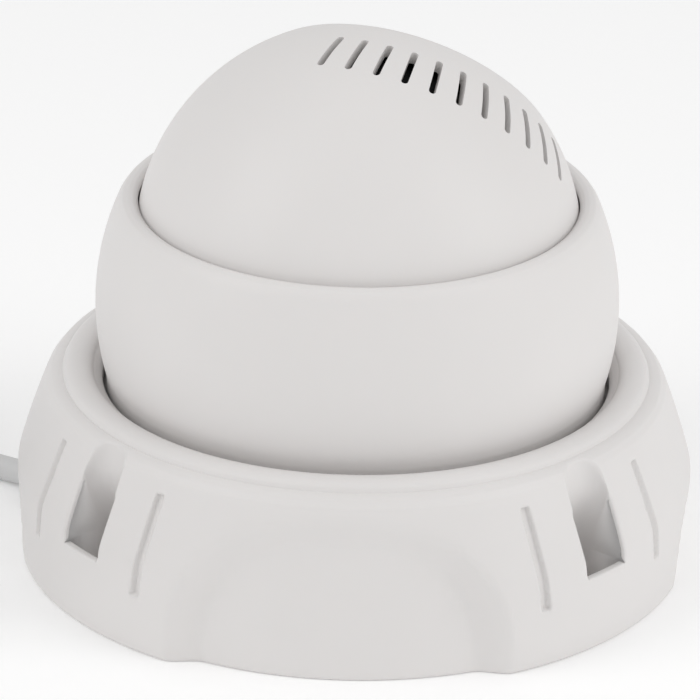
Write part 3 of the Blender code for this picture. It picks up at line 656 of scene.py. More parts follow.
def recess(a, z):
    """Radius of the wall where it is let in: the arches fall to a cylinder over a band inside half
    ellipses, the grooves follow the wall."""
    r = wall_radius(z)
    floor = ARCH_FLOOR_R - 1.5 * (z / ARCH_TOP) ** 1.5
    for middle, half, top, band in (
        (0, ARCH_HALF, ARCH_TOP, ARCH_BAND), (np.pi, ARCH_HALF, ARCH_TOP, ARCH_BAND),
        (np.pi / 2, SIDE_HALF, SIDE_TOP, 0.3), (-np.pi / 2, SIDE_HALF, SIDE_TOP, 0.3)
    ):
        reach = (np.abs(turn_between(a, middle) / half) ** 2.5 + np.abs(z / top) ** 2.5) ** 0.4
        share = np.clip((1 - reach) / band, 0, 1)
        r = r - np.maximum(r - floor, 0) * (0.45 * step(share) + 0.55 * np.sin(np.pi / 2 * share) ** 1.2)
    for middle in GROOVES:
        lean = GROOVE_LEAN * (z - 11) * np.where(np.sin(middle) * np.cos(middle) < 0, 1, -1)
        across = np.abs(
            BASE_R * np.sin(turn_between(a, middle)) - lean
        ) + 9 * (np.abs(turn_between(a, middle)) > 1)
        r = r - step((0.98 - across) / 0.36) * step((z - 10.8) / 0.5) * step((29.8 - z) / 0.5)
    return r


def slot_columns(axis):
    """Columns of one screw pocket as (offset across it, share of the cut, rounding, share of the pocket,
    back radius)."""
    arcs = np.radians([0, 30, 60, 90])
    edge = [
        (
            SLOT_HALF + SLOT_EASE * (1 - math.sin(t)), 0, SLOT_EASE * (1 - math.cos(t)), 0,
            SLOT_BACK_R + SLOT_CORNER
        )
        for t in arcs
    ]
    wall = [(SLOT_HALF, s, SLOT_EASE, 0, SLOT_BACK_R + SLOT_CORNER) for s in (0.35, 0.7, 1.0)]
    sink = [(SLOT_HALF, 1, 0, d, SLOT_BACK_R + SLOT_CORNER) for d in (0.5, 1.0)]
    bend = [
        (SLOT_HALF - SLOT_CORNER * (1 - math.cos(t)), 1, 0, 1, SLOT_BACK_R + SLOT_CORNER * (1 - math.sin(t)))
        for t in np.radians(np.arange(9, 90, 9))
    ]
    half = np.array(edge + wall + sink + bend)
    middle = np.array([(u, 1, 0, 1, SLOT_BACK_R) for u in (0.25, -0.25)])
    other = half[::-1] * (-1, 1, 1, 1, 1)
    columns = np.vstack([other, middle[::-1], half])
    angle = axis + np.arcsin(columns[:, 0] / BASE_R)
    return np.column_stack(
        [angle, np.full(len(angle), axis), np.ones(len(angle)), columns[:, 1:], np.zeros(len(angle))]
    )


groove_steps = np.arange(-4.6, 4.7, 0.23)
plain = np.concatenate([
    np.arange(-180, 180, 2.5), *(s * np.arange(21.5, 32, 0.7) for s in (1, -1)), *(
        180 + s * np.arange(21.5, 32, 0.7) for s in (1, -1)
    ),
    *(s + np.arange(-17, 17.1, 1.2) for s in (90, -90)),
    *(np.degrees(g + groove_steps / BASE_R) for g in GROOVES),
])  # fmt: skip
plain = np.unique(np.round((np.radians(plain) + np.pi) % (2 * np.pi) - np.pi, 4))
notch_angles = NOTCH_AXIS + np.arcsin((NOTCH_OFF + np.array([-NOTCH_HALF, NOTCH_HALF])) / BASE_R)
clear = np.ones(len(plain), bool)
for axis in SLOTS:
    clear &= np.abs(turn_between(plain, axis)) > math.asin((SLOT_HALF + SLOT_EASE) / BASE_R) + 0.004
clear &= (plain < notch_angles[0] - 0.006) | (plain > notch_angles[1] + 0.006)
plain = plain[clear]
plain = plain[np.append(True, np.diff(plain) > 0.0028)]
near = SLOTS[np.argmin(np.abs(turn_between(plain[:, None], SLOTS[None])), 1)]
off = np.abs(turn_between(plain, near))
warp = step((math.radians(9) - off) / math.radians(4))
by_notch = np.abs(plain - notch_angles.mean()) < math.radians(9)
near = np.where(by_notch, NOTCH_AXIS, near)
warp = np.where(
    by_notch, step((math.radians(9) - np.abs(plain - notch_angles.mean())) / math.radians(5)), warp
)
blank_cut = np.zeros((len(plain), 3))
columns = [
    np.column_stack([plain, near, warp, blank_cut, np.full(len(plain), SLOT_BACK_R), np.zeros(len(plain))])
]
columns += [slot_columns(axis) for axis in SLOTS]
notch_across = np.array([-NOTCH_HALF, -NOTCH_HALF, -1.6, 0, 1.6, NOTCH_HALF, NOTCH_HALF])
notch = NOTCH_AXIS + np.arcsin((NOTCH_OFF + notch_across) / BASE_R)
columns.append(
    np.column_stack(
        [
            notch, np.full(7, NOTCH_AXIS), np.ones(7), np.zeros((7, 3)), np.full(7, SLOT_BACK_R),
            [0, 1, 1, 1, 1, 1, 0]
        ]
    )
)
columns = np.vstack(columns)
columns = columns[np.argsort(columns[:, 0], kind="stable")]
angle, axis, warp, cut, ease, deep, back_r, lifted = columns.T[:, None]

foot = np.linspace(WALL_IN_R, 59.3, 20)[:, None]
low_z = np.concatenate(
    [[0.12, 0.3, 0.5], np.arange(1.2, 10.5, 1.1), [10.7, 10.95, 11.2, 11.6, 12.4, LIP_Z - 0.3]]
)[:, None]
arc = np.radians([0, 30, 60, 90])
lip = np.vstack([
    np.stack([BASE_R - 0.3 * (1 - np.cos(arc)), LIP_Z - 0.3 * (1 - np.sin(arc))], -1),
    np.stack([LIP_R + 0.3 * (1 - np.sin(arc)), LIP_Z - 0.3 * (1 - np.cos(arc))], -1),
    np.stack([np.full(5, LIP_R), np.linspace(12.6, POCKET_Z + 0.5, 5)], -1),
])  # fmt: skip
floor_share = np.linspace(0, 1, 20)
rise_z = np.linspace(POCKET_Z + 0.4, LIP_Z, 7)
high_z = np.concatenate([np.arange(LIP_Z, 28.6, 0.8), np.arange(28.8, 33.6, 0.27), [33.7, 33.79]])[:, None]


def soft_least(a, b, blend):
    """The smaller of two lengths, with the corner between them rounded over the blend."""
    h = np.clip(0.5 + 0.5 * (b - a) / blend, 0, 1)
    return b * (1 - h) + a * h - blend * h * (1 - h)


across = BASE_R * np.sin(angle - axis)
foot_r = WALL_IN_R - SET_IN * cut + (foot - WALL_IN_R) / (59.3 - WALL_IN_R) * (
    recess(angle, 0 * angle) - 0.6 - WALL_IN_R + SET_IN * cut
)
hole_far = np.hypot(across, foot_r - HOLE_AT) + 99 * (deep == 0)
foot_z = 1.6 * step((HOLE_R + 0.15 - hole_far) / 0.3)
low_r = recess(angle, low_z) - np.array([0.3, 0.1, 0.03] + [0] * (len(low_z) - 3))[:, None]


def undercut(z):
    """How much deeper a pocket is at a height than at its top: it eases from nothing to UNDERCUT."""
    return UNDERCUT * step((29 - z) / 15)


lip_r = np.broadcast_to(lip[:, :1], (len(lip), len(columns)))
floor_r = LIP_R + floor_share[:, None] * (back_r - undercut(POCKET_Z) - LIP_R)
floor_z = POCKET_Z + 0.4 * (
    1
    - np.sqrt(
        np.clip(
            1 - (
                1 - np.minimum(floor_share, 1 - floor_share) / 0.08
            ) ** 2 * (np.minimum(floor_share, 1 - floor_share) < 0.08),
            0, 1
        )
    )
)[:, None]
sunk = step((HOLE_R + 0.15 - np.hypot(across, floor_r - HOLE_AT)) / 0.3)
floor_z = floor_z * (1 - sunk) + 2.4 * sunk
rise_r = back_r - undercut(rise_z)[:, None] + 0 * angle
cut_r = np.vstack([lip_r, floor_r, rise_r])
cut_z = np.vstack(
    [np.broadcast_to(lip[:, 1:], lip_r.shape), floor_z, np.broadcast_to(rise_z[:, None], rise_r.shape)]
)
level_z = np.where(np.arange(len(cut_z))[:, None] < 4, cut_z, LIP_Z)
plain_r = recess(angle, level_z)
pocket_r = plain_r - cut * (plain_r - cut_r)
pocket_z = level_z + deep * (cut_z - level_z)

outer_r = recess(angle, high_z)
let_in = outer_r - soft_least(outer_r, back_r - undercut(high_z), 0.5)
high_r = outer_r - np.maximum(
    cut * let_in, np.minimum(ease * step((high_z - LIP_Z) / 0.8), let_in) * (cut < 1)
)
top = np.array(
    [
        (52.8, 33.98), (52.4, 34.0), (51.9, 33.95), (50.7, 33.3), (50.5, 31.2), (51.0, 30.0),
        *((WALL_IN_R, z) for z in (29.4, 26, 24, 22, 20, 18, 16, 14, 10, 7.5, 6.4, 3, 0))
    ]
)
inside_r = top[:, :1] - SET_IN * cut * step((26 - top[:, 1:]) / 12)

tall = lambda z: np.broadcast_to(z, (len(z), len(columns)))
radius = np.vstack([foot_r, low_r, pocket_r, high_r, inside_r])
height = np.vstack([foot_z, tall(low_z), pocket_z, tall(high_z), tall(top[:, 1:])])
height = np.where(lifted > 0, np.maximum(height, NOTCH_TOP), height)
lean = SLOT_LEAN * np.clip(height - LIP_Z, 0, 18) * np.where(
    np.sin(axis) * np.cos(axis) < 0, 1, -1
) * (axis != NOTCH_AXIS)
leaning = axis + np.arcsin(np.clip((BASE_R * np.sin(angle - axis) + lean) / radius, -1, 1))
around = angle + warp * turn_between(leaning, angle)
wall_points = np.stack([radius * np.sin(around), -radius * np.cos(around), height], -1)

white_abs = moulding(
    "white_abs", (0.775, 0.755, 0.745), 0.47, grain=2600.0, depth=0.005, clouding=0.035, dust=0.05,
    Specular_IOR_Level=0.42, Subsurface_Weight=0.06, Subsurface_Radius=(0.0012, 0.001, 0.0009),
)  # fmt: skip
wall = solid(
    "base_wall", [
        (wall_points, ruled(len(radius), len(columns), True, True))
    ], white_abs, "base", "white_shell", "base_shell",
)  # fmt: skip


# ---- Cup and bead of the base -------------------------------------------------------------
# The same moulding inside the wall: a rolled bead round the top, the bore with the groove that
# the collar's lugs run in, and a floor with a hub for the turntable and posts for the back plate.

bead_turn = np.radians(np.linspace(15, 165, 22))
bead = np.stack([49.5 + 2.7 * np.cos(bead_turn), 34.0 + 1.7 * np.sin(bead_turn)], -1)
bore = eased([
    (52.5, 33.7), *bead, (45.7, 33.4), (45.2, 32.8), (45.2, 30.0), (46.1, 29.8), (46.1, 27.6),
    (45.2, 27.4), (45.2, 24.0),
    (42.6, 24.0), (42.6, 10.0), (8.5, 10.0), (8.5, 8.0), (47.4, 8.0), (47.4, 31.0), (49.8, 31.0),
    (51.0, 33.2),
], 0.3, steps=3)  # fmt: skip
posts = [
    revolved(
        [(0, 2.5), (1.3, 2.5), (3.2, 2.5), (3.4, 2.7), (3.4, 8.4), (0, 8.4)],
        Matrix.Rotation(math.radians(a), 4, "Z") @ Matrix.Translation((0, -30, 0)), 32, closed=False
    )
    for a in (45, 165, 285)
]
solid("base_cup", [revolved(bore, sides=176), *posts], white_abs, "base", "white_shell", "base_shell")


# ---- Back plate and its screws ------------------------------------------------------------
# A flat ABS disc closes the base from below, held to the three posts by countersunk screws.

plate_white = moulding(
    "plate_abs", (0.74, 0.73, 0.72), 0.55, grain=1500.0, depth=0.012, clouding=0.08, dust=0.1
)
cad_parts["back_plate"].material_slots[0].material = plate_white
for k in (1, 2, 3):
    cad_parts[f"back_plate_screw_{k}"].material_slots[0].material = steel


# ---- Collar ----------------------------------------------------------------------------------
# One ABS ring, a slice of a sphere outside, that screws a part turn into the bore. Its thin lip
# presses the ball down on the turntable; a rubber ring below the lip and a gasket seal it.


def arc_points(radius, middle, start, end, count):
    """Points (radius, height) on a circle about the axis point at that height, from one height to another."""
    a = np.linspace(math.asin((start - middle) / radius), math.asin((end - middle) / radius), count)
    return np.stack([radius * np.cos(a), middle + radius * np.sin(a)], -1)


collar_profile = np.vstack([
    arc_points(46.5, 47.3, 34.3, 65.6, 60),
    eased(
        [(42.2, 66.45), (41.75, 66.9), (40.75, 67.2), (39.95, 67.1), (39.6, 66.85)], 0.3, closed=False,
        steps=5
    ),
    arc_points(39.9, 58.1, 66.4, 60.4, 10),
    arc_points(44.2, 47.3, 59.7, 36.0, 20),
    eased(
        [
            (42.3, 34.4), (42.3, 26.5), (44.5, 26.5), (44.5, 27.9), (45.6, 28.3), (45.6, 29.1),
            (44.5, 29.5), (44.5, 34.0)
        ],
        0.25, closed=False, steps=3
    ),
])  # fmt: skip
solid("collar_ring", [revolved(collar_profile, sides=200)], white_abs, "collar", "white_shell", "collar")
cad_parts["collar_gasket"].material_slots[0].material = rubber_black
grip_grey = moulding("grip_rubber", (0.3, 0.3, 0.3), 0.7, grain=2200.0, depth=0.015, clouding=0.15)
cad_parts["friction_ring"].material_slots[0].material = grip_grey


# ---- Turntable and spring ----------------------------------------------------------------------
# A glass-filled nylon turntable turns on the hub and carries the ball on its seat ring; the
# pressed steel spring under it pushes it up against the ball.

nylon = moulding("turntable_nylon", (0.72, 0.71, 0.67), 0.5, grain=1800.0, depth=0.01, clouding=0.1, dust=0.1)
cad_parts["seat_carriage"].material_slots[0].material = nylon
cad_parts["wave_spring"].material_slots[0].material = metal(
    "spring_steel", (0.5, 0.51, 0.53), 0.22, (2500, 2500, 600), tarnish=0.2
)


# ---- Inner lead ---------------------------------------------------------------------------------
# The black jacketed cable inside: one run from the gland to the hub, and one from the hub
# round the slot of the turntable to the swivel bush.

inner_black = moulding("inner_sheath", (0.03, 0.03, 0.032), 0.5, grain=1800.0, depth=0.01, clouding=0.2)
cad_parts["inner_cable_base"].material_slots[0].material = inner_black


def round_cable(name, line, diameter, material, body, slot, *stands_for):
    """A tube round a line: a ring of points square to the line at each of its points, set from a fixed
    direction across it, ends drawn shut."""
    ahead = np.gradient(line, axis=0)
    ahead /= np.linalg.norm(ahead, axis=1, keepdims=True)
    first = np.cross(ahead, np.broadcast_to([0.3, 0.1, 0.95], ahead.shape))
    first = np.cross(
        ahead, np.broadcast_to([1.0, 0.2, 0.0], ahead.shape)
    ) if np.linalg.norm(first, axis=1).min() < 0.15 else first
    first /= np.linalg.norm(first, axis=1, keepdims=True)
    second = np.cross(ahead, first)
    turn = np.linspace(0, 2 * np.pi, 20, endpoint=False)[None, :, None]
    ring = line[:, None] + diameter / 2 * (np.cos(turn) * first[:, None] + np.sin(turn) * second[:, None])
    shut = lambda row: np.broadcast_to(row.mean(0), row.shape)[None]
    rows = np.concatenate([shut(ring[0]), ring, shut(ring[-1])])
    return solid(name, [(rows, ruled(len(rows), 20, False, True))], material, body, slot, *stands_for)


LOOK_UP, LOOK_ACROSS, BALL_Z = math.radians(36.9), math.radians(17.9), 58.1
pan_turn = Matrix.Rotation(-LOOK_ACROSS, 4, "Z")
away, centre = np.array([0, -math.cos(LOOK_UP), -math.sin(LOOK_UP)]), np.array([0, 0, BALL_Z])
inner_route = [
    (0, 0, 11.1), (0, 0, 12.2), (0, -0.8, 14.2), (0, -3.2, 16.2), (0, -9, 17.0), (0, -20, 17.2),
    (0, -30, 18.6), (0, -36.6, 22.2), (0, -38.8, 26.4), centre + away * 46.6, centre + away * 42.9
]
inner_line = placed(smooth_route(inner_route, 1.2), pan_turn)
inner_run = round_cable(
    "inner_cable_run", inner_line, 3.2, inner_black, None, "inner_sheath", "inner_cable_ball"
)
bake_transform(inner_run)


# ---- Ball: shell --------------------------------------------------------------------------------
# Two ABS mouldings make the ball. This is the front one, a shell with a flat face that holds the
# window and a fan of eleven narrow vents cut through above it.

BALL_R, BALL_WALL, FACE_AT = 39.6, 2.2, 28.6
at_ball = Matrix.Translation((0, 0, BALL_Z)) @ pan_turn @ Matrix.Rotation(LOOK_UP - math.pi / 2, 4, "X")
VENT_AT, VENT_HALF, VENT_LONG = math.radians(62.95), 0.65, 5.01
VENTS = np.radians(-5.4 + 7.92 * np.arange(11))


def hole_half(along, wide, long):
    """Half the width of a round-ended hole at a distance along it from its middle, easing back to full
    beyond its ends."""
    past = np.clip((np.abs(along) - (long - wide)) / wide, 0, 1)
    inside = wide * np.maximum(np.sqrt(1 - past**2), 0.3)
    return np.where(np.abs(along) <= long, inside, wide * (0.3 + 0.9 * step((np.abs(along) - long) / 3.0)))


def pierced(front, outer_turns, back_part, inner_turns, radii, holes, hole_at, wide, long, sides):
    """A shell of two spheres joined by profiles, with round-ended holes along its meridians.
    Rows are angles from the lens axis and columns are angles about it; next to each hole the columns
    close in on its outline, the cells between them are left out, and a wall joins the rims."""
    columns, pull = [], []
    fine = np.sort(holes)
    for hole in fine:
        columns += [hole, hole]
        pull += [-1, 1]
    open_turns = np.linspace(-np.pi, np.pi, sides, endpoint=False)
    spread = wide / radii[0] / math.sin(hole_at)
    gap = np.min(np.abs(turn_between(open_turns[:, None], fine[None])), 1)
    extra = np.array([f + s * spread * k for f in fine for s in (-1, 1) for k in (1.4, 2.2)])
    others = np.unique(np.round(np.concatenate([open_turns[gap > 3.0 * spread], extra]), 5))
    columns, pull = np.array([*columns, *others]), np.array([*pull, *[0] * len(others)])
    order = np.lexsort((pull, columns))
    columns, pull = columns[order], pull[order]
    sphere = lambda t, radius: (radius * np.sin(t), radius * np.cos(t))
    outer, inner = np.stack(sphere(outer_turns, radii[0]), -1), np.stack(sphere(inner_turns, radii[1]), -1)
    profile = np.vstack([front, outer, back_part, inner])
    along = (np.arctan2(profile[:, 0], profile[:, 1]) - hole_at) * radii[0]
    across = hole_half(along, wide, long)[:, None] / (
        radii[0] * np.sin(np.maximum(np.arctan2(profile[:, 0], profile[:, 1]), 0.2))
    )[:, None]
    turn = columns[None] + pull[None] * across
    points = np.stack(
        [profile[:, :1] * np.sin(turn), -profile[:, :1] * np.cos(turn), profile[:, 1:] + 0 * turn], -1
    )
    rows, count = points.shape[:2]
    quads = ruled(rows, count, True, True)
    cell_row, cell_column = np.divmod(np.arange(len(quads)), count)
    within = np.abs(along) <= long + 1e-6
    row = np.arange(rows)
    first_outer, first_inner = len(front), len(front) + len(outer) + len(back_part)
    on_sphere = ((row >= first_outer) & (row < first_outer + len(outer))) | (row >= first_inner)
    holed_row = within & np.roll(within, -1) & on_sphere & np.roll(on_sphere, -1)
    holed_column = (pull == -1) & (np.roll(pull, -1) == 1)
    keep = ~(holed_row[cell_row] & holed_column[cell_column])
    outs = first_outer + np.nonzero(np.abs((outer_turns - hole_at) * radii[0]) <= long + 1e-6)[0]
    ins = first_inner + np.nonzero(np.abs((inner_turns - hole_at) * radii[0]) <= long + 1e-6)[0][::-1]
    walls = []
    for c in np.nonzero(holed_column)[0]:
        for side in (c, c + 1):
            o, i = outs * count + side, ins * count + side
            walls.append(np.stack([o[:-1], o[1:], i[1:], i[:-1]], -1))
        for o, i in ((outs[0], ins[0]), (outs[-1], ins[-1])):
            walls.append([[o * count + c, o * count + c + 1, i * count + c + 1, i * count + c]])
    return points.reshape(-1, 3), np.vstack([quads[keep], *walls])


vent_rows = VENT_AT + np.array(
    [
        -5.01, -4.93, -4.8, -4.6, -4.3, -3.7, -3.0, -2.3, -1.6, -0.9, -0.2, 0.5, 1.2, 1.9, 2.6, 3.3,
        3.9, 4.3, 4.6, 4.8, 4.93, 5.01
    ]
) / BALL_R
edge = math.asin(27.5 / BALL_R)
inner_r = BALL_R - BALL_WALL
outer_turns = np.concatenate(
    [
        np.linspace(edge + 0.01, vent_rows[0] - 0.012, 7), vent_rows,
        np.arange(vent_rows[-1] + 0.02, math.radians(131.4), 0.04), [math.radians(131.7)]
    ]
)
inner_high = math.acos(-21.5 / inner_r)
inner_turns = np.concatenate(
    [
        np.arange(inner_high, vent_rows[-1] + 0.02, -0.07), vent_rows[::-1],
        [vent_rows[0] - 0.015, vent_rows[0] - 0.03]
    ]
)
rim = eased(
    [
        (28.7, 23.9), (27.8, 24.4), (23.4, 24.4), (23.4, 25.2), (25.5, 25.2), (25.5, FACE_AT),
        (26.6, FACE_AT), (27.35, 28.5)
    ],
    0.3, closed=False, steps=4
)[1:]
rear = eased(
    [
        (BALL_R * math.sin(math.radians(132)), BALL_R * math.cos(math.radians(132))),
        (inner_r * math.sin(math.radians(132)), inner_r * math.cos(math.radians(132))), (27.0, -24.0),
        (22.0, -24.0), (22.0, -22.4), (28.6, -22.4)
    ],
    0.25, closed=False, steps=3
)
shell_points, shell_quads = pierced(
    rim, outer_turns, rear, inner_turns, (BALL_R, inner_r), VENTS, VENT_AT, VENT_HALF, VENT_LONG, 150
)
shell = solid(
    "ball_shell", [(placed(shell_points, at_ball), shell_quads)], white_abs, "ball", "white_shell",
    "ball_housing"
)
softened = shell.modifiers.new("vent_edges", "BEVEL")
softened.width, softened.segments = 0.16 * MM, 2
softened.limit_method, softened.angle_limit = "ANGLE", math.radians(50)
softened.harden_normals = True


# ---- Ball: rear cap -------------------------------------------------------------------------------
# The second half of the ball, held by two screws in counterbores. The swivel bush of the lead
# turns in the hole at its pole.

cap_edge = math.radians(132) + 0.3 / BALL_R
hole_turn = math.pi - math.asin(6.3 / BALL_R)
screw_turn = math.pi - math.asin(24.3 / BALL_R)
screw_rows = screw_turn + np.array(
    [-2.1, -2.05, -1.9, -1.6, -1.1, -0.5, 0, 0.5, 1.1, 1.6, 1.9, 2.05, 2.1]
) / BALL_R
cap_out = np.concatenate(
    [
        np.linspace(cap_edge + 0.006, screw_rows[0] - 0.01, 4), screw_rows,
        np.linspace(screw_rows[-1] + 0.03, hole_turn - 0.008, 12)
    ]
)
cap_in = cap_out[::-1]
cap_in = cap_in[(cap_in < math.pi - math.asin(6.5 / inner_r)) & (cap_in > cap_edge + 0.015)]
around_hole = np.array(
    [(6.3, -math.sqrt(BALL_R**2 - 6.3**2) + 0.15), (6.3, -math.sqrt(inner_r**2 - 6.3**2) - 0.1)]
)
at_seam = np.array(
    [
        (inner_r * math.sin(cap_edge + 0.004), inner_r * math.cos(cap_edge + 0.004)),
        (BALL_R * math.sin(cap_edge), BALL_R * math.cos(cap_edge))
    ]
)
cap_points, cap_quads = pierced(
    at_seam, cap_out, around_hole, cap_in, (BALL_R, inner_r), np.array([math.pi / 2, -math.pi / 2]),
    screw_turn, 2.1, 2.1, 120
)
seats = [
    revolved(
        eased([(0.75, -28.7), (2.5, -28.7), (2.5, -24.3), (0.75, -24.3)], 0.12),
        at_ball @ Matrix.Translation((x, 0, 0)), 32
    )
    for x in (-24.3, 24.3)
]
solid(
    "ball_rear_cap", [(placed(cap_points, at_ball), cap_quads), *seats], white_abs, "ball",
    "white_shell", "rear_cap"
)
for k in (1, 2):
    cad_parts[f"rear_cap_screw_{k}"].material_slots[0].material = steel
bush = eased(
    [(0, -34.2), (8.6, -34.2), (8.6, -35.6), (5.9, -35.9), (5.9, -41.0), (4.4, -42.6), (0, -42.6)], 0.3,
    closed=False
)
solid(
    "swivel_bush", [revolved(bush, at_ball, 64, closed=False)], rubber_black, "swivel", "seal_rubber",
    "cable_grommet"
)


# ---- Window and its gasket ---------------------------------------------------------------------
# A flat disc of smoked glass seated in the face on a rubber gasket, polished on its edge.


def glazing(name, colour, roughness, **shader):
    """Clear tinted glass whose polish changes a little where it has been wiped."""
    made, tree = blank(name)
    skin = add(
        tree, "ShaderNodeGroup", {"node_tree": skin_group}, Colour=(*colour, 1), Clouding=0.05,
        Roughness=roughness, Grain=400.0, Dust=0.03
    )
    wiped = add(tree, "ShaderNodeBump", Height=skin.outputs["Height"], Strength=0.3, Distance=0.001 * MM)
    glass = add(
        tree, "ShaderNodeBsdfPrincipled", Base_Color=skin.outputs["Colour"],
        Roughness=skin.outputs["Roughness"],
        Normal=wiped.outputs[0], Transmission_Weight=1.0, IOR=1.5, **shader,
    )  # fmt: skip
    add(tree, "ShaderNodeOutputMaterial", Surface=glass.outputs[0])
    return made


smoked = glazing("smoked_glass", (0.5, 0.5, 0.52), 0.03)
pane = eased([(0, 26.6), (25.2, 26.6), (25.2, 28.1), (0, 28.1)], 0.25, closed=False)
solid(
    "window_pane", [revolved(pane, at_ball, 128, closed=False)], smoked, "ball", "window_glass",
    "front_window"
)
solid(
    "window_seal",
    [revolved(eased([(23.6, 25.5), (25.2, 25.5), (25.2, 26.3), (23.6, 26.3)], 0.15), at_ball, 128)],
    rubber_black, "ball", "seal_rubber", "window_gasket"
)


# ---- Chassis, lamp board and light sensor ----------------------------------------------------------
# A black ring holds the round lamp board behind the window. Twelve infrared lamps stand on it
# round the lens, with the small light sensor between two of them.

ball_turn = (LOOK_UP - math.pi / 2, 0, -LOOK_ACROSS)


def printed_board():
    """A printed board: square-cornered tracks under green solder mask, and tinned pads on a fine pitch
    in some places."""
    group = bpy.data.node_groups.new("printed_board", "ShaderNodeTree")
    for name, kind, start in (
        ("Vector", "NodeSocketVector", (0, 0, 0)), ("Mask", "NodeSocketColor", (0.01, 0.1, 0.04, 1)),
        ("Track", "NodeSocketColor", (0.03, 0.22, 0.09, 1))
    ):
        group.interface.new_socket(name, in_out="INPUT", socket_type=kind).default_value = start
    for name, kind in (
        ("Colour", "NodeSocketColor"), ("Roughness", "NodeSocketFloat"),
        ("Metallic", "NodeSocketFloat"), ("Height", "NodeSocketFloat")
    ):
        group.interface.new_socket(name, in_out="OUTPUT", socket_type=kind)
    given = group.nodes.new("NodeGroupInput").outputs
    cells = add(
        group, "ShaderNodeTexVoronoi", {"distance": "CHEBYCHEV", "feature": "F1"},
        Vector=given["Vector"], Scale=420.0, Randomness=0.85
    )
    band = add(
        group, "ShaderNodeMath", {"operation": "PINGPONG"}, _0=cells.outputs["Distance"], _1=0.16
    ).outputs[0]
    track = add(group, "ShaderNodeMath", {"operation": "GREATER_THAN"}, _0=band, _1=0.1).outputs[0]
    dots = add(
        group, "ShaderNodeTexVoronoi", {"feature": "F1"}, Vector=given["Vector"], Scale=640.0,
        Randomness=0.0
    ).outputs["Distance"]
    some = add(group, "ShaderNodeTexNoise", Vector=given["Vector"], Scale=110.0, Detail=0.0).outputs[0]
    pad = add(group, "ShaderNodeMath", {"operation": "LESS_THAN"}, _0=dots, _1=0.24).outputs[0]
    there = add(group, "ShaderNodeMath", {"operation": "GREATER_THAN"}, _0=some, _1=0.56).outputs[0]
    pad = add(group, "ShaderNodeMath", {"operation": "MULTIPLY"}, _0=pad, _1=there).outputs[0]
    masked = add(
        group, "ShaderNodeMix", {"data_type": "RGBA"}, _0=track, _6=given["Mask"], _7=given["Track"]
    ).outputs[2]
    colour = add(
        group, "ShaderNodeMix", {"data_type": "RGBA"}, _0=pad, _6=masked, _7=(0.7, 0.7, 0.72, 1)
    ).outputs[2]
    rough = add(group, "ShaderNodeMath", {"operation": "MULTIPLY_ADD"}, _0=pad, _1=-0.1, _2=0.35).outputs[0]
    high = add(group, "ShaderNodeMath", {"operation": "ADD"}, _0=track, _1=pad).outputs[0]
    add(group, "NodeGroupOutput", Colour=colour, Roughness=rough, Metallic=pad, Height=high)
    return group


board_green, tree = blank("board_green")
at = add(tree, "ShaderNodeTexCoord").outputs["Object"]
at = add(
    tree, "ShaderNodeMapping", {"vector_type": "TEXTURE"}, Vector=at, Location=(0, 0, BALL_Z * MM),
    Rotation=ball_turn
).outputs[0]
flat = add(tree, "ShaderNodeMapping", Vector=at, Scale=(1, 1, 0)).outputs[0]
printed = add(tree, "ShaderNodeGroup", {"node_tree": printed_board()}, Vector=flat)
etched = add(tree, "ShaderNodeBump", Height=printed.outputs["Height"], Strength=0.6, Distance=0.03 * MM)
shader = add(
    tree, "ShaderNodeBsdfPrincipled", Base_Color=printed.outputs["Colour"],
    Roughness=printed.outputs["Roughness"],
    Metallic=printed.outputs["Metallic"], Normal=etched.outputs[0], Coat_Weight=0.3,
)  # fmt: skip
add(tree, "ShaderNodeOutputMaterial", Surface=shader.outputs[0])

solid(
    "chassis",
    [revolved(eased([(20.5, 14.3), (30.2, 14.3), (30.2, 16.7), (20.5, 16.7)], 0.3), at_ball, 96)],
    plastic_black, "ball", "dark_plastic", "chassis_ring"
)
solid(
    "lamp_board", [revolved(eased([(11, 17), (23, 17), (23, 18.2), (11, 18.2)], 0.1), at_ball, 96)],
    board_green, "ball", "circuit_board", "ir_led_board"
)
clear_resin = glazing("lamp_resin", (0.75, 0.75, 0.85), 0.05)
bell = np.vstack(
    [
        [(0, 18.25), (2.45, 18.25), (2.9, 18.3), (2.9, 19.1), (2.5, 19.2), (2.5, 20.6)],
        np.stack(
            [2.5 * np.cos(np.linspace(0.1, 1.57, 12)), 20.6 + 2.5 * np.sin(np.linspace(0.1, 1.57, 12))],
            -1
        )
    ]
)
lamp_turns = [
    Matrix.Rotation(2 * math.pi * (k + 0.5) / 12, 4, "Z") @ Matrix.Translation((0, -18.2, 0))
    for k in range(12)
]
solid(
    "infrared_lamps", [revolved(bell, at_ball @ t, 32, closed=False) for t in lamp_turns], clear_resin,
    "ball", "lens_glass", "ir_led_board"
)
cup_metal = metal("lamp_cup", (0.7, 0.7, 0.7), 0.25, (500, 500, 500))
reflector = eased(
    [(0, 18.4), (1.1, 18.4), (1.3, 19.4), (1.0, 19.4), (0.6, 18.9), (0, 18.8)], 0.1, closed=False
)
solid(
    "lamp_cups", [revolved(reflector, at_ball @ t, 20, closed=False) for t in lamp_turns], cup_metal,
    "ball", "circuit_board", "ir_led_board"
)
sensor_resin = moulding("sensor_resin", (0.6, 0.42, 0.24), 0.25, grain=3000.0, depth=0.003)
solid(
    "light_sensor",
    [
        revolved(
            eased([(0, 18.3), (1.5, 18.3), (1.5, 20.1), (0, 20.4)], 0.2, closed=False),
            at_ball @ Matrix.Translation((0, -14.2, 0)), 32, closed=False
        )
    ],
    sensor_resin, "ball", "sensor_cell", "photocell"
)


# ---- Lens, holder and baffle --------------------------------------------------------------------
# A threaded black lens barrel screws in its holder over the image sensor, so it focuses when it is
# turned. A ring of black foam round it keeps the lamps' light off the lens.

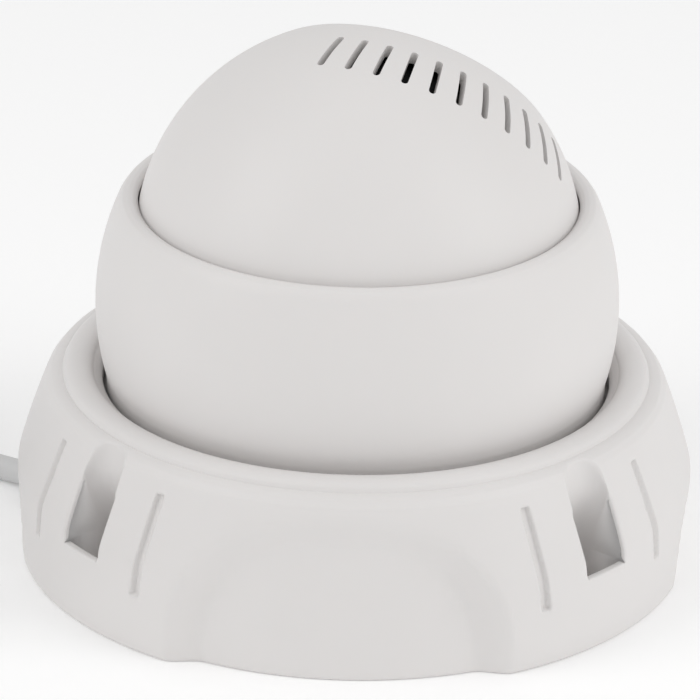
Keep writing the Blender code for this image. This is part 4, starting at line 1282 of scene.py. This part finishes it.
foam, tree = blank("baffle_foam")
at = add(tree, "ShaderNodeTexCoord").outputs["Object"]
pores = add(tree, "ShaderNodeTexVoronoi", Vector=at, Scale=1500.0).outputs["Distance"]
deep_pores = add(tree, "ShaderNodeBump", Height=pores, Strength=1.0, Distance=0.25 * MM)
tone = add(tree, "ShaderNodeMapRange", Value=pores, To_Min=0.006, To_Max=0.035).outputs[0]
shader = add(tree, "ShaderNodeBsdfPrincipled", Base_Color=tone, Roughness=0.95, Normal=deep_pores.outputs[0])
add(tree, "ShaderNodeOutputMaterial", Surface=shader.outputs[0])
solid(
    "foam_baffle",
    [revolved(eased([(8.6, 17.0), (10.6, 17.0), (10.6, 26.2), (8.6, 26.2)], 0.35), at_ball, 72)], foam,
    "ball", "baffle_foam", "light_baffle"
)

thread_z = np.linspace(7.2, 13.0, 95)
thread = np.stack([5.75 + 0.15 * np.sin(2 * np.pi * (thread_z - 7.2) / 0.5), thread_z], -1)
steps_in = eased(
    [
        (5.9, 13.4), (7.6, 13.8), (7.6, 24.6), (6.6, 25.2), (6.3, 24.9), (6.3, 24.4), (5.7, 24.4),
        (5.7, 23.8), (5.2, 23.8), (5.2, 23.2), (4.2, 22.0), (4.2, 7.0)
    ],
    0.12, closed=False, steps=3
)
barrel_points, barrel_quads = revolved(np.vstack([thread, steps_in]), at_ball, 120)
local = placed(barrel_points, at_ball.inverted())
ribbing = (np.hypot(local[:, 0], local[:, 1]) > 7.4) & (local[:, 2] > 15) & (local[:, 2] < 23.6)
local[:, :2] *= 1 - 0.02 * ribbing[:, None] * (np.sin(40 * np.arctan2(local[:, 1], local[:, 0])) > 0)[:, None]
barrel_black = moulding("barrel_black", (0.012, 0.012, 0.013), 0.32, grain=2200.0, depth=0.004, clouding=0.2)
solid(
    "lens_tube", [(placed(local, at_ball), barrel_quads)], barrel_black, "lens", "dark_plastic",
    "lens_barrel"
)
bulge = np.stack([np.linspace(0, 4.9, 18), 24.6 - 1.1 * (np.linspace(0, 1, 18)) ** 2], -1)
coated = glazing("coated_glass", (0.55, 0.42, 0.75), 0.02, Coat_Weight=0.8, Coat_Tint=(0.6, 0.5, 1.0, 1))
solid(
    "lens_front",
    [revolved(np.vstack([[(0, 22.7)], [(4.4, 23.0)], bulge[::-1]]), at_ball, 64, closed=False)], coated,
    "lens", "lens_glass", "lens_glass"
)
holder = eased([(6.3, 4.2), (9.2, 4.2), (9.2, 6.0), (8.0, 6.6), (8.0, 12.9), (6.3, 12.9)], 0.2)
solid("lens_mount", [revolved(holder, at_ball, 72)], plastic_black, "ball", "dark_plastic", "lens_holder")
chip = moulding("sensor_chip", (0.03, 0.02, 0.035), 0.12, grain=5000.0, depth=0.001, Coat_Weight=0.6)
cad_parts["image_sensor"].material_slots[0].material = chip


# ---- Boards, posts and wiring -------------------------------------------------------------------
# Two square boards on brass hexagon posts carry the sensor and the power supply. A nylon header
# takes the inner lead, and a ribbon of wires goes up to the lamps.

for name in ("sensor_board", "power_board"):
    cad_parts[name].material_slots[0].material = board_green
for k in (1, 2, 3, 4):
    for row in ("front", "rear"):
        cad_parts[f"{row}_post_{k}"].material_slots[0].material = brass
header_nylon = moulding("header_nylon", (0.82, 0.8, 0.72), 0.45, grain=1800.0, depth=0.008, clouding=0.08)
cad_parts["cable_header"].material_slots[0].material = header_nylon
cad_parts["led_wires"].material_slots[0].material = sheath_grey
screen_black = moulding("screen_black", (0.006, 0.006, 0.007), 0.8, grain=1200.0, depth=0.05, clouding=0.3)
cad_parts["dust_screen"].material_slots[0].material = screen_black
